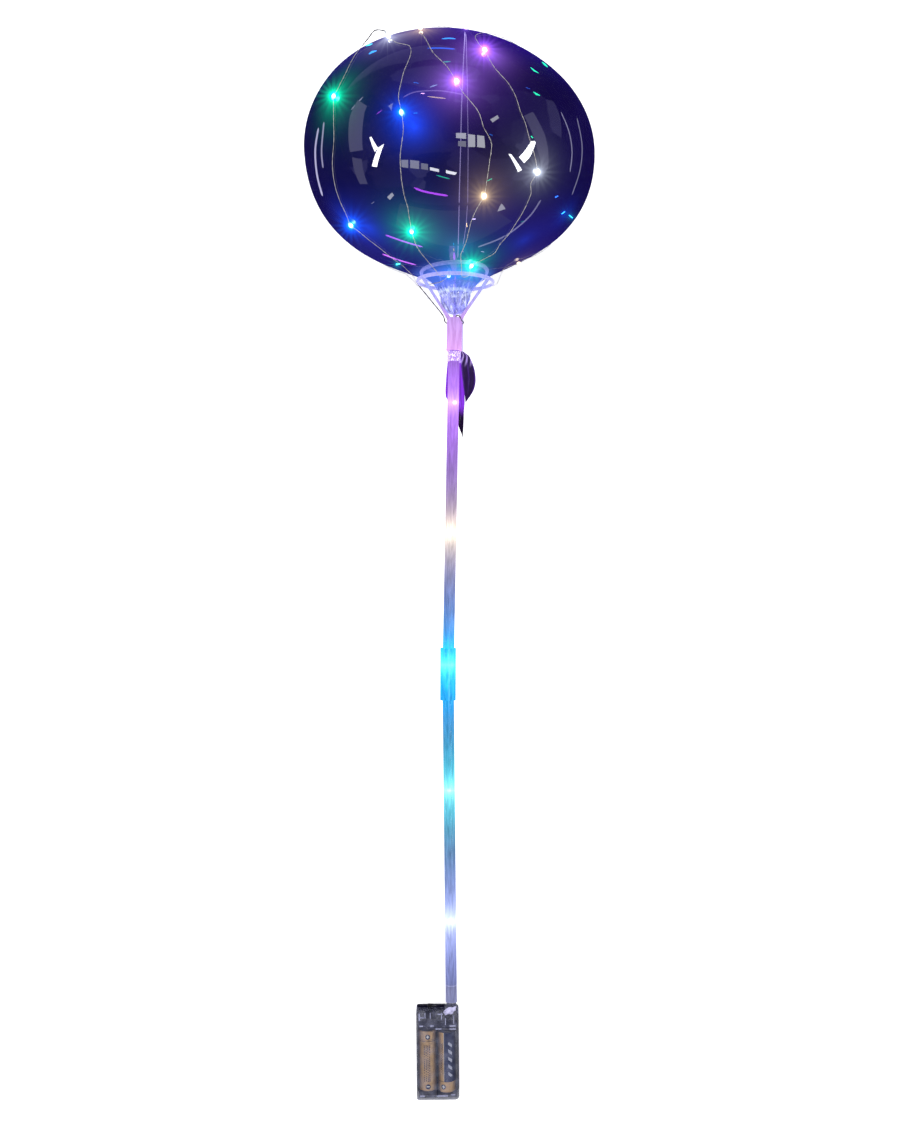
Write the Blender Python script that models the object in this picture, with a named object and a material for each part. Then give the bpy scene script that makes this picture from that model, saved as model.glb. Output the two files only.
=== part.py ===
"""LED balloon: a clear balloon in a cup on a two-piece stick, with a battery box and a light string.

The pieces are made in a stick frame: X to the right, Y along the stick from the foot of the battery
box to the balloon, Z out of the front. The empty "lay" tips that frame, so that the balloon's side
and the far lower edge of the box lie on the floor. Lengths are in metres and angles in degrees.
"""

import math

import bmesh
import bpy
from mathutils import Matrix, Vector

# Balloon
BALLOON_RADIUS = 0.1190
BALLOON_HALF_HEIGHT = 0.092
BALLOON_CENTRE = 0.7750
BALLOON_SWAY = (
    (0.6900, 0.0001), (0.7150, 0.0004), (0.7450, 0.0004), (0.7800, -0.0008),
    (0.8150, -0.0031), (0.8450, -0.0064), (0.8680, -0.0070),
)
CONE_START = 91
CONE_END = (0.0216, 0.6713)
CONE_SLOPE = (-0.841, -0.542)
CONE_PULLS = (0.52, 0.23)
NECK_RADIUS = 0.0115
NECK_TOP = 0.6615
NECK_FOOT = ((0.0115, 0.6530), (0.0095, 0.6490), (0.0050, 0.6438), (0.0, 0.6430))
THROAT_PULL = 0.006
PRESSED_DEPTH = 0.0010
BALLOON_SIDES = 40
CROWN_STEPS = 11
CONE_STEPS = 9
THROAT_STEPS = 3
MEASURED_STEPS = (60, 60)
ROUTE_STEPS = (120, 60, 12)

# Film tail: the free end of the neck, which hangs beside the stick
FILM = 0.0008
TAIL_BACK = 145
TAIL_STRIP = ((0.0040, 0.6500), (0.0090, 0.6452), (0.0093, 0.6380), (0.0091, 0.6125), (0.0056, 0.6085))
TAIL_STRIP_WIDTH = 0.0042
WRAP_RADIUS = 0.0061
WRAP_HEIGHTS = (0.6045, 0.6128)
WRAP_SIDES = 16
LEAF = (
    (0.0048, 0.6126), (0.0074, 0.6130), (0.0118, 0.6096), (0.0160, 0.6020), (0.0186, 0.5930),
    (0.0184, 0.5852), (0.0150, 0.5780), (0.0101, 0.5705), (0.0086, 0.5790), (0.0072, 0.5900),
    (0.0052, 0.6040),
)
LEAF_DEPTH = 0.0030
BACK_STRIP = (
    (-0.0052, 0.6100), (-0.0064, 0.5900), (-0.0062, 0.5760), (0.0000, 0.5680), (0.0036, 0.5630),
    (0.0046, 0.5530), (0.0084, 0.5425), (0.0090, 0.5500), (0.0092, 0.5640), (0.0097, 0.5720),
    (0.0086, 0.5900), (0.0066, 0.6100),
)
BACK_STRIP_DEPTH = -0.0064
NECK_LOBE = (0.0122, 105, 0.6485)
NECK_LOBE_RADIUS = 0.0045

# Cup
RING_RADIUS = 0.0310
RING_BAR = 0.0015
RING_HEIGHT = 0.6705
RING_SIDES = 40
RING_BAR_SIDES = 8
RIB_COUNT = 3
RIB_BAR = 0.00125
RIB_SIDES = 8
RIB_FOOT = (0.0054, 0.6395)
FIRST_RIB = 60
SOCKET_RADIUS = 0.0063
SOCKET_HEIGHTS = (0.6134, 0.6405)
SOCKET_BORE = 0.0050
SOCKET_STOP = 0.6223
SOCKET_HOLE = 0.0037

# Stick
TUBE_RADIUS = 0.0047
TUBE_BORE = 0.00425
LOWER_STICK_FOOT = 0.0775
UPPER_STICK_TOP = 0.6220
STICK_BREAK = 0.3472
STICK_GAP = 0.0006
STICK_X = -0.0016
UPPER_LEAN = 1.07
LOWER_LEAN = 0.57
SLEEVE_RADIUS = 0.0064
SLEEVE_BORE = 0.00515
SLEEVE_LENGTH = 0.0428
TUBE_SIDES = 24

# Battery box, in its own frame: X across, Y up from its foot, Z out of the front
BOX_X = -0.0096
BOX_LEAN = 0.6
BOX_WIDTH = 0.0348
BOX_LENGTH = 0.0724
BOX_DEPTH = 0.0185
WALL = 0.0015
GAP = 0.0003
CORNERS = (0.0016, 0.0035, 0.0030, 0.0016)
CORNER_STEPS = 4
FRONT_EDGE = 0.0006
FRONT_EDGE_STEPS = 2
SHARPEST_SMOOTH = 60
CUT_OVER = 0.0020
BAY_OVERLAP = 0.0002
CROSS_WALL = (0.0580, 0.0592)
DIVIDER_X = -0.0006
DIVIDER_WALL = 0.0008
DIVIDER_FOOT = 0.0030
SPIGOT_X = 0.0115
SPIGOT_RADIUS = 0.00395
SPIGOT_BORE = 0.0026
SPIGOT_TOP = 0.0915
SPIGOT_SUNK = 0.0008
SPIGOT_CHAMFER = 0.0006
BORE_SUNK = 0.006
BORE_SIDES = 16
GRIP_HEIGHTS = (0.0480, 0.0510, 0.0540)
GRIP_SIZE = (0.0140, 0.0012, 0.0006)

# AA cells and their contacts
CELL_RADIUS = 0.00715
CELL_CAN = 0.0492
CELL_NUB_RADIUS = 0.00275
CELL_NUB = 0.0012
CELL_SHOULDER = 0.0006
CELL_SIDES = 28
LEFT_CELL = (-0.0085, 0.0061)
RIGHT_CELL = (0.0073, 0.0541)
PLATE = 0.0005
PLATE_WIDTH = 0.0095
PLATE_DEPTH = 0.0090
SPRING_RADII = (0.0042, 0.0026)
SPRING_WIRE = 0.0003
SPRING_TURNS = 3
SPRING_STEPS = 10
SPRING_CLEARANCE = 0.00075

# Slide switch under the top wall
SWITCH_X = -0.0060
SWITCH_DEPTH = -0.0040
FLANGE_X = -0.0047
FLANGE_SIZE = (0.0216, 0.0008, 0.0048)
FLANGE_TOP = 0.0701
SWITCH_SIZE = (0.0085, 0.0070, 0.0040)
KNOB_SIZE = (0.0034, 0.0038, 0.0022)
KNOB_FOOT = 0.0704
KNOB_TRAVEL = 0.0030
KNOB_GROOVE = (0.0005, 0.0008, 0.0040)
KNOB_GROOVE_PITCH = 0.0010
SLOT_MARGIN = 0.0004
SLOT_CUT = 0.006

# Light string
WIRE = 0.00045
WIRE_LIFT = 0.0009
BEAD = 0.0015
BEAD_LIFT = 0.0020
BEAD_HALF_LENGTH = 0.0024
BEAD_SHOULDER = (0.62, 0.78)
FLOOR_GAP = 0.00035
GROOVE_GAP = 0.00065
GROOVE_BELOW = 0.0034
STRING_STEP = 0.0150
SKIN_STEP = 8
GROOVE_ROUNDNESS = 1
WIRE_ROUNDNESS = 0

# Lying on the floor, and the block that stands for the floor
STEEPEST_TILT = 20
HALVINGS = 50
FLOOR_SIZE = (0.3, 0.3, 0.1)
FLOOR_CENTRE = (0.0, 0.35, -0.05)
WELD = 1e-6

# The stretch in the stick: height along it, and how far the wire strays to the right and forward
IN_THE_STICK = (
    (0.0640, 0.0, 0.0), (0.0760, 0.0, 0.0), (0.0960, 0.0003, 0.0004), (0.1180, 0.0012, 0.0006),
    (0.1440, -0.0003, 0.0010), (0.1760, 0.0010, 0.0002), (0.2150, -0.0011, 0.0003),
    (0.2518, -0.0002, 0.0010), (0.2900, 0.0012, -0.0004), (0.3250, 0.0009, 0.0004),
    (0.3550, -0.0010, 0.0009), (0.3950, -0.0012, 0.0004), (0.4300, 0.0006, -0.0005),
    (0.4639, 0.0007, 0.0010), (0.5000, -0.0010, 0.0004), (0.5380, 0.0011, -0.0003),
    (0.5708, 0.0013, 0.0008), (0.6050, -0.0004, 0.0006), (0.6280, 0.0002, 0.0004),
)
STICK_BEADS = (0.1440, 0.2518, 0.3550, 0.4639, 0.5708)

# Stretches round the cup: distance from the stick's axis, degrees round it, height along it
ROUND_THE_SOCKET = (
    (0.0022, 20, 0.6405), (0.0045, 28, 0.6418), (0.0074, 32, 0.6410), (0.0078, 48, 0.6376),
    (0.0077, 90, 0.6370), (0.0077, 135, 0.6368), (0.0077, 180, 0.6368), (0.0077, 225, 0.6370),
    (0.0079, 262, 0.6374),
    (0.0100, 284, 0.6420), (0.0180, 288, 0.6505), (0.0265, 288, 0.6595), (0.0338, 288, 0.6675),
    (0.0360, 287, 0.6718),
)
LEFT_HOOK = (
    (0.0352, -27, 0.6722), (0.0336, -24, 0.6690), (0.0306, -20, 0.6680), (0.0240, -13, 0.6700),
    (0.0205, -35, 0.6665), (0.0222, -60, 0.6660), (0.0245, -85, 0.6665), (0.0275, -98, 0.6672),
    (0.0310, -104, 0.6680), (0.0340, -107, 0.6695), (0.0362, -109, 0.6725),
)
BACK_HOOK = (
    (0.0355, -189, 0.6722), (0.0338, -190, 0.6690), (0.0310, -193, 0.6680), (0.0272, -198, 0.6672),
    (0.0310, -204, 0.6680), (0.0338, -207, 0.6690), (0.0355, -208, 0.6722),
)
FRONT_HOOK = (
    (0.0350, 8, 0.6722), (0.0336, 8, 0.6690), (0.0310, 10, 0.6680), (0.0285, 13, 0.6682),
    (0.0310, 16, 0.6680), (0.0338, 19, 0.6690),
)
LAST_HOOK = ((0.0355, 92, 0.6722), (0.0338, 91, 0.6690), (0.0308, 90, 0.6680), (0.0280, 89, 0.6690))
HOOK_BEADS = {(0.0240, -13, 0.6700)}

# Stretches over the balloon: degrees down from its crown, degrees round it, extra lift
LEFT_LOOP = (
    (161, -73, 0), (155, -66, 0), (148, -62, 0), (135, -62, 0), (129, -59, 0), (120, -56, 0), (109, -52, 0),
    (99, -48, 0), (88, -47, 0), (79, -47, 0), (68, -44, 0), (58, -44, 0), (50, -45, 0), (43, -43, 0.0030),
    (39, -41, 0.0060), (37, -37, 0.0034), (46, -28, 0), (54, -21, 0), (58, -15, 0), (65, -14, 0),
    (74, -16, 0), (80, -17, 0), (87, -18, 0), (94, -17, 0), (102, -17, 0), (111, -19, 0), (118, -20, 0),
    (129, -21, 0), (134, -21, 0), (145, -24, 0), (153, -28, 0), (159, -30, 0),
)
BACK_LOOP = (
    (160, -118, 0), (147, -127, 0), (131, -126, 0), (116, -123, 0), (100, -123, 0), (82, -122, 0),
    (61, -126, 0), (49, -130, 0), (30, -145, 0), (18, -165, 0), (9, -200, 0), (9, -232, 0), (13, -226, 0),
    (19, -210, 0), (26, -202, 0), (39, -193, 0), (52, -189, 0), (66, -186, 0), (80, -185, 0), (92, -184, 0),
    (108, -184, 0), (123, -184, 0), (135, -186, 0), (147, -188, 0), (159, -190, 0),
)
OVER_THE_CROWN = (
    (159, -208, 0), (147, -197, 0), (135, -191, 0), (123, -189, 0), (113, -188, 0), (103, -188, 0),
    (92, -188, 0), (80, -190, 0), (67, -191, 0), (52, -193, 0), (39, -198, 0), (26, -207, 0), (19, -218, 0),
    (14, -242, 0), (13, -285, 0), (18, -330, 0), (23, -355, 0), (30, -368, 0), (40, -372, 0), (53, -368, 0),
    (64, -365, 0), (73, -360, 0), (81, -357, 0), (86, -355, 0), (94, -350, 0), (101, -348, 0), (107, -345, 0),
    (114, -345, 0), (121, -345, 0), (129, -345, 0), (136, -347, 0), (143, -348, 0), (152, -348, 0),
    (160, -351, 0),
)
RIGHT_LOOP = (
    (165, 24, 0), (162, 34, 0), (157, 42, 0), (151, 40, 0), (146, 40, 0), (140, 39, 0), (132, 38, 0),
    (125, 37, 0), (121, 35, 0), (116, 36, 0), (103, 30, 0), (97, 28, 0), (92, 26, 0), (84, 24, 0),
    (79, 22, 0), (72, 18, 0), (62, 16, 0), (54, 15, 0), (47, 17, 0), (40, 26, 0), (36, 40, 0), (36, 58, 0),
    (43, 80, 0), (50, 96, 0), (57, 106, 0), (65, 113, 0), (73, 114, 0), (81, 116, 0), (91, 120, 0),
    (99, 126, 0), (107, 126, 0), (118, 121, 0), (130, 114, 0), (142, 105, 0), (154, 92, 0), (161, 92, 0),
)
SKIN_BEADS = {
    (135, -62), (79, -47), (46, -28), (94, -17), (145, -24), (131, -126), (82, -122), (30, -145),
    (66, -186), (123, -184), (113, -188), (67, -191), (18, -330), (40, -372), (81, -357), (129, -345),
    (165, 24), (116, 36), (62, 16), (43, 80), (99, 126), (154, 92),
}


def clear_scene():
    """Remove what the default scene holds."""
    for item in list(bpy.data.objects):
        bpy.data.objects.remove(item, do_unlink=True)


def plastic(name, colour, roughness, metallic=0.0, alpha=1.0):
    """A plain Principled material."""
    made = bpy.data.materials.new(name)
    made.use_nodes = True
    shader = made.node_tree.nodes["Principled BSDF"]
    shader.inputs["Base Color"].default_value = (*colour, 1.0)
    shader.inputs["Roughness"].default_value = roughness
    shader.inputs["Metallic"].default_value = metallic
    shader.inputs["Alpha"].default_value = alpha
    return made


def empty(name, parent, place, turn=(0.0, 0.0, 0.0)):
    """An empty that carries pieces. The turn is in degrees about X, Y and Z."""
    made = bpy.data.objects.new(name, None)
    bpy.context.scene.collection.objects.link(made)
    made.parent = parent
    made.location = place
    made.rotation_euler = [math.radians(a) for a in turn]
    return made


def put(name, bm, parent, look=None, sharp=35):
    """Make an object of a bmesh, shaded smooth but for its sharp edges."""
    bmesh.ops.recalc_face_normals(bm, faces=bm.faces)
    mesh = bpy.data.meshes.new(name)
    bm.to_mesh(mesh)
    bm.free()
    mesh.shade_smooth()
    mesh.set_sharp_from_angle(angle=math.radians(sharp))
    if look:
        mesh.materials.append(look)
    made = bpy.data.objects.new(name, mesh)
    bpy.context.scene.collection.objects.link(made)
    made.parent = parent
    return made


def combine(target, tool, operation):
    """Join a tool to the target or cut it out of it. The tool itself is left out of the part."""
    tool.hide_render = True
    tool.display_type = "WIRE"
    step = target.modifiers.new(tool.name, "BOOLEAN")
    step.operation = operation
    step.solver = "EXACT"
    step.object = tool


def turned(profile, sides, closed=False):
    """Spin a profile of (radius, height) points round the Y axis."""
    bm = bmesh.new()
    verts = [bm.verts.new((radius, height, 0.0)) for radius, height in profile]
    pairs = list(zip(verts, verts[1:]))
    if closed:
        pairs.append((verts[-1], verts[0]))
    edges = [bm.edges.new(pair) for pair in pairs]
    bmesh.ops.spin(
        bm, geom=verts + edges, cent=(0, 0, 0), axis=(0, 1, 0), angle=math.tau, steps=sides, use_merge=True
    )
    bmesh.ops.remove_doubles(bm, verts=bm.verts, dist=WELD)
    return bm


def pipe(outer, bore, low, high, sides=TUBE_SIDES):
    """A straight open tube along Y."""
    return turned(((bore, low), (outer, low), (outer, high), (bore, high)), sides, closed=True)


def block(size, centre):
    """A box with the given size and centre."""
    bm = bmesh.new()
    bmesh.ops.create_cube(bm, size=1.0)
    bmesh.ops.scale(bm, vec=size, verts=bm.verts)
    bmesh.ops.translate(bm, vec=centre, verts=bm.verts)
    return bm


def slab(outline, back, front):
    """Extrude a flat outline of (x, y) points from one depth to another."""
    bm = bmesh.new()
    face = bm.faces.new([bm.verts.new((x, y, back)) for x, y in outline])
    grown = bmesh.ops.extrude_face_region(bm, geom=[face])["geom"]
    far = [item for item in grown if isinstance(item, bmesh.types.BMVert)]
    bmesh.ops.translate(bm, vec=(0, 0, front - back), verts=far)
    return bm


def bar(start, end, radius, sides=RIB_SIDES):
    """A round bar between two points."""
    start, end = Vector(start), Vector(end)
    bm = bmesh.new()
    bmesh.ops.create_cone(
        bm, cap_ends=True, segments=sides, radius1=radius, radius2=radius, depth=(end - start).length
    )
    aim = (end - start).to_track_quat("Z", "Y").to_matrix().to_4x4()
    bmesh.ops.transform(bm, matrix=Matrix.Translation((start + end) / 2) @ aim, verts=bm.verts)
    return bm


def box_outline():
    """The case seen from the front: a rectangle with its four rounded corners, from the lower left."""
    half, length = BOX_WIDTH / 2, BOX_LENGTH
    points = []
    centres = ((-half, 0.0, 1, 1), (half, 0.0, -1, 1), (half, length, -1, -1), (-half, length, 1, -1))
    for index, (x, y, to_x, to_y) in enumerate(centres):
        radius = CORNERS[index]
        centre = (x + to_x * radius, y + to_y * radius)
        for step in range(CORNER_STEPS + 1):
            angle = math.radians(180 + 90 * index + 90 * step / CORNER_STEPS)
            points.append((centre[0] + radius * math.cos(angle), centre[1] + radius * math.sin(angle)))
    return points


def box_case(parent, look):
    """The case: walls, cross wall, divider and spigot, open at the back."""
    front, back = BOX_DEPTH / 2, -BOX_DEPTH / 2 + WALL + GAP
    case = put("battery_box", slab(box_outline(), back, front), parent, look)
    edge = case.modifiers.new("soft_front_edge", "BEVEL")
    edge.width = FRONT_EDGE
    edge.segments = FRONT_EDGE_STEPS
    edge.limit_method = "ANGLE"
    edge.angle_limit = math.radians(SHARPEST_SMOOTH)
    inner = BOX_WIDTH / 2 - WALL
    deep = front - WALL - back
    middle = (front - WALL + back - CUT_OVER) / 2
    left_edge, right_edge = DIVIDER_X - DIVIDER_WALL / 2, DIVIDER_X + DIVIDER_WALL / 2
    bays = (
        ("left_bay", -inner, left_edge, DIVIDER_FOOT, CROSS_WALL[0]),
        ("right_bay", right_edge, inner, DIVIDER_FOOT, CROSS_WALL[0]),
        ("contact_bay", -inner, inner, WALL, DIVIDER_FOOT + BAY_OVERLAP),
        ("switch_bay", -inner, inner, CROSS_WALL[1], BOX_LENGTH - WALL),
    )
    for name, low_x, high_x, low_y, high_y in bays:
        size = (high_x - low_x, high_y - low_y, deep + CUT_OVER)
        centre = ((low_x + high_x) / 2, (low_y + high_y) / 2, middle)
        combine(case, put("cut_" + name, block(size, centre), parent), "DIFFERENCE")
    spigot_foot = BOX_LENGTH - SPIGOT_SUNK
    spigot = turned((
        (0.0, spigot_foot), (SPIGOT_RADIUS, spigot_foot), (SPIGOT_RADIUS, SPIGOT_TOP - SPIGOT_CHAMFER),
        (SPIGOT_RADIUS - SPIGOT_CHAMFER, SPIGOT_TOP), (0.0, SPIGOT_TOP),
    ), TUBE_SIDES)
    low, high = BOX_LENGTH - BORE_SUNK, SPIGOT_TOP + CUT_OVER
    hole = turned(((0.0, low), (SPIGOT_BORE, low), (SPIGOT_BORE, high), (0.0, high)), BORE_SIDES)
    for bm in (spigot, hole):
        bmesh.ops.translate(bm, vec=(SPIGOT_X, 0, 0), verts=bm.verts)
    combine(case, put("add_spigot", spigot, parent), "UNION")
    combine(case, put("cut_spigot_bore", hole, parent), "DIFFERENCE")
    slot = (KNOB_SIZE[0] + KNOB_TRAVEL + 2 * SLOT_MARGIN, SLOT_CUT, KNOB_SIZE[2] + 2 * SLOT_MARGIN)
    centre = (SWITCH_X + KNOB_TRAVEL / 2, BOX_LENGTH, SWITCH_DEPTH)
    combine(case, put("cut_switch_slot", block(slot, centre), parent), "DIFFERENCE")
    return case


def box_cover(parent, look):
    """The flat cover on the back, with three grip ribs near its top."""
    back = -BOX_DEPTH / 2
    cover = put("battery_cover", slab(box_outline(), back, back + WALL), parent, look)
    for index, height in enumerate(GRIP_HEIGHTS):
        groove = block(GRIP_SIZE, (0.0, height, back))
        combine(cover, put(f"cut_grip_{index + 1}", groove, parent), "DIFFERENCE")
    return cover


def cell(name, parent, look, centre_x, minus_end, upward):
    """One AA cell along Y, with its plus nub up or down."""
    high = minus_end + CELL_CAN * upward
    near, far = CELL_SHOULDER * upward, CELL_NUB * upward
    profile = (
        (0.0, minus_end), (CELL_RADIUS - CELL_SHOULDER, minus_end), (CELL_RADIUS, minus_end + near),
        (CELL_RADIUS, high - near), (CELL_RADIUS - CELL_SHOULDER, high), (CELL_NUB_RADIUS, high),
        (CELL_NUB_RADIUS, high + far), (0.0, high + far),
    )
    made = put(name, turned(profile, CELL_SIDES), parent, look)
    made.location.x = centre_x
    return made


def contact_plate(name, parent, look, low_x, high_x, low_y):
    """A thin metal plate across the end of one cell or of both."""
    size = (high_x - low_x, PLATE, PLATE_DEPTH)
    return put(name, block(size, ((low_x + high_x) / 2, low_y + PLATE / 2, 0.0)), parent, look)


def spring(name, parent, look, centre_x, wide_end, narrow_end):
    """A conical coil spring between a plate and the minus end of a cell."""
    curve = bpy.data.curves.new(name, "CURVE")
    curve.dimensions = "3D"
    curve.bevel_depth = SPRING_WIRE
    curve.bevel_resolution = 0
    curve.use_fill_caps = True
    spline = curve.splines.new("POLY")
    count = SPRING_TURNS * SPRING_STEPS
    spline.points.add(count)
    for index, point in enumerate(spline.points):
        part = index / count
        angle = math.tau * SPRING_TURNS * part
        radius = SPRING_RADII[0] + (SPRING_RADII[1] - SPRING_RADII[0]) * part
        height = wide_end + (narrow_end - wide_end) * part
        point.co = (centre_x + radius * math.cos(angle), height, radius * math.sin(angle), 1.0)
    curve.materials.append(look)
    made = bpy.data.objects.new(name, curve)
    bpy.context.scene.collection.objects.link(made)
    made.parent = parent
    return made


def cells_and_contacts(parent, looks):
    """Both cells, the bridge across their lower ends, and the plates and springs."""
    left_x, left_foot = LEFT_CELL
    right_x, right_top = RIGHT_CELL
    cell("cell_left", parent, looks["cell_gold"], left_x, left_foot, 1)
    cell("cell_right", parent, looks["cell_navy"], right_x, right_top, -1)
    half = PLATE_WIDTH / 2
    ceiling = CROSS_WALL[0] - GAP - PLATE
    floor = WALL + GAP
    contact_plate("contact_bridge", parent, looks["metal"], left_x - half, right_x + half, floor)
    contact_plate("contact_plus", parent, looks["metal"], left_x - half, left_x + half, ceiling)
    contact_plate("contact_minus", parent, looks["metal"], right_x - half, right_x + half, ceiling)
    gap = SPRING_CLEARANCE
    spring("spring_left", parent, looks["metal"], left_x, floor + PLATE + gap, left_foot - gap)
    spring("spring_right", parent, looks["metal"], right_x, ceiling - gap, right_top + gap)


def slide_switch(parent, looks):
    """The black switch under the top wall, and its knob, which slides along X."""
    centre = (FLANGE_X, FLANGE_TOP - FLANGE_SIZE[1] / 2, SWITCH_DEPTH)
    body = put("switch_body", block(FLANGE_SIZE, centre), parent, looks["black"])
    drop = FLANGE_TOP - FLANGE_SIZE[1] / 2 - SWITCH_SIZE[1] / 2
    combine(body, put("add_switch_can", block(SWITCH_SIZE, (SWITCH_X, drop, SWITCH_DEPTH)), parent), "UNION")
    knob = block(KNOB_SIZE, (0.0, KNOB_SIZE[1] / 2, 0.0))
    knob = put("switch_knob", knob, parent, looks["black"])
    knob.location = (SWITCH_X, KNOB_FOOT, SWITCH_DEPTH)
    for index in (-1, 0, 1):
        groove = block(KNOB_GROOVE, (index * KNOB_GROOVE_PITCH, KNOB_SIZE[1], 0.0))
        groove = put(f"cut_knob_{index + 2}", groove, parent)
        groove.location = knob.location
        combine(knob, groove, "DIFFERENCE")


def stick(upper, lower, sleeve, looks):
    """The two tubes and the sleeve over their joint, each in its own leaning frame."""
    low = pipe(TUBE_RADIUS, TUBE_BORE, LOWER_STICK_FOOT - STICK_BREAK, -STICK_GAP)
    high = pipe(TUBE_RADIUS, TUBE_BORE, STICK_GAP, UPPER_STICK_TOP - STICK_BREAK)
    cover = pipe(SLEEVE_RADIUS, SLEEVE_BORE, -SLEEVE_LENGTH / 2, SLEEVE_LENGTH / 2)
    put("lower_stick", low, lower, looks["clear"])
    put("upper_stick", high, upper, looks["clear"])
    put("coupling_sleeve", cover, sleeve, looks["clear"])


def cup(upper, looks):
    """The cup that holds the balloon: socket, ribs and ring."""
    low, high = (height - STICK_BREAK for height in SOCKET_HEIGHTS)
    stop = SOCKET_STOP - STICK_BREAK
    profile = (
        (SOCKET_BORE, low), (SOCKET_RADIUS, low), (SOCKET_RADIUS, high), (SOCKET_HOLE, high),
        (SOCKET_HOLE, stop), (SOCKET_BORE, stop),
    )
    made = put("holder_cup", turned(profile, TUBE_SIDES, closed=True), upper, looks["clear"])
    level = RING_HEIGHT - STICK_BREAK
    circle = [math.tau * step / RING_BAR_SIDES for step in range(RING_BAR_SIDES)]
    ring = [(RING_RADIUS + RING_BAR * math.cos(a), level + RING_BAR * math.sin(a)) for a in circle]
    for index in range(RIB_COUNT):
        angle = math.radians(FIRST_RIB + 360 * index / RIB_COUNT)
        aside, forward = math.sin(angle), math.cos(angle)
        foot = (RIB_FOOT[0] * aside, RIB_FOOT[1] - STICK_BREAK, RIB_FOOT[0] * forward)
        rim = (RING_RADIUS * aside, level, RING_RADIUS * forward)
        combine(made, put(f"add_rib_{index + 1}", bar(foot, rim, RIB_BAR), upper), "UNION")
    combine(made, put("add_ring", turned(ring, RING_SIDES, closed=True), upper), "UNION")


def bezier(start, first, second, end, steps):
    """Points of a cubic curve, without its start."""
    points = []
    for index in range(1, steps + 1):
        t = index / steps
        s = 1 - t
        weights = (s ** 3, 3 * s * s * t, 3 * s * t * t, t ** 3)
        both = (start, first, second, end)
        points.append(tuple(sum(w * p[axis] for w, p in zip(weights, both)) for axis in (0, 1)))
    return points


def skin_profile(crown_steps=CROWN_STEPS, cone_steps=CONE_STEPS, throat_steps=THROAT_STEPS):
    """Half outline of the balloon from its crown to the top of its neck, as (radius, height)."""
    points = []
    for index in range(crown_steps + 1):
        angle = math.radians(CONE_START * index / crown_steps)
        height = BALLOON_CENTRE + BALLOON_HALF_HEIGHT * math.cos(angle)
        points.append((BALLOON_RADIUS * math.sin(angle), height))
    start, end = Vector(points[-1]), Vector(CONE_END)
    angle = math.radians(CONE_START)
    along = Vector((BALLOON_RADIUS * math.cos(angle), -BALLOON_HALF_HEIGHT * math.sin(angle))).normalized()
    slope = Vector(CONE_SLOPE).normalized()
    first, second = ((end - start).length * pull for pull in CONE_PULLS)
    points += bezier(start, start + along * first, end - slope * second, end, cone_steps)
    neck = Vector((NECK_RADIUS, NECK_TOP))
    below = Vector((NECK_RADIUS, NECK_TOP - THROAT_PULL))
    points += bezier(end, end + slope * THROAT_PULL, neck, below, throat_steps)
    return points


def lying_tilt():
    """The angle at which the balloon presses into the floor by PRESSED_DEPTH, with the box on it."""
    low, high = 0.0, math.radians(STEEPEST_TILT)
    for _ in range(HALVINGS):
        tilt = (low + high) / 2
        if lowest_skin(tilt) < -PRESSED_DEPTH:
            low = tilt
        else:
            high = tilt
    return (low + high) / 2


def lift_at(tilt):
    """How far the stick frame is raised, so that the far lower edge of the box is on the floor."""
    return BOX_DEPTH / 2 * math.cos(tilt)


def lowest_skin(tilt):
    """Height of the balloon's lowest point before it is pressed flat."""
    outline = skin_profile(*MEASURED_STEPS)
    reach = min(height * math.sin(tilt) - radius * math.cos(tilt) for radius, height in outline)
    return reach + lift_at(tilt)


def lying_middle(tilt):
    """Middle of the object's length along the floor, measured from the foot of the stick frame."""
    outline = skin_profile(*MEASURED_STEPS)
    reach = max(height * math.cos(tilt) + radius * math.sin(tilt) for radius, height in outline)
    return (reach - BOX_DEPTH / 2 * math.sin(tilt)) / 2


def turn_z(degrees):
    """Rotation about Z."""
    return Matrix.Rotation(math.radians(degrees), 4, "Z")


def ring_centre():
    """Where the upper stick's axis meets the plane of the ring."""
    along = RING_HEIGHT - STICK_BREAK
    return Vector((STICK_X, STICK_BREAK, 0.0)) + turn_z(-UPPER_LEAN) @ Vector((0.0, along, 0.0))


def about_stick(radius, round_deg, height):
    """A place given by its distance from the upper stick's axis, its angle and its height."""
    angle = math.radians(round_deg)
    local = Vector((radius * math.sin(angle), height - STICK_BREAK, radius * math.cos(angle)))
    return Vector((STICK_X, STICK_BREAK, 0.0)) + turn_z(-UPPER_LEAN) @ local


def in_stick(height, aside, forward):
    """A place inside the stick, off its axis by a little."""
    lean = -UPPER_LEAN if height > STICK_BREAK else LOWER_LEAN
    local = Vector((aside, height - STICK_BREAK, forward))
    return Vector((STICK_X, STICK_BREAK, 0.0)) + turn_z(lean) @ local


def sway(height):
    """How far to the right the balloon's middle lies at a height of the stick frame."""
    middle = ring_centre().x
    if height <= RING_HEIGHT:
        return middle + (height - RING_HEIGHT) * math.tan(math.radians(UPPER_LEAN))
    stops = [(RING_HEIGHT, middle)] + list(BALLOON_SWAY)
    slopes = []
    for index in range(len(stops)):
        before, after = stops[max(index - 1, 0)], stops[min(index + 1, len(stops) - 1)]
        slopes.append((after[1] - before[1]) / (after[0] - before[0]))
    index = 0
    while index < len(stops) - 2 and stops[index + 1][0] < height:
        index += 1
    (low, first), (high, last) = stops[index], stops[index + 1]
    part = (height - low) / (high - low)
    turn = (high - low) * (slopes[index] * (1 - part) - slopes[index + 1] * part)
    blend = part * part * (3 - 2 * part)
    return first + (last - first) * blend + part * (1 - part) * turn


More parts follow.
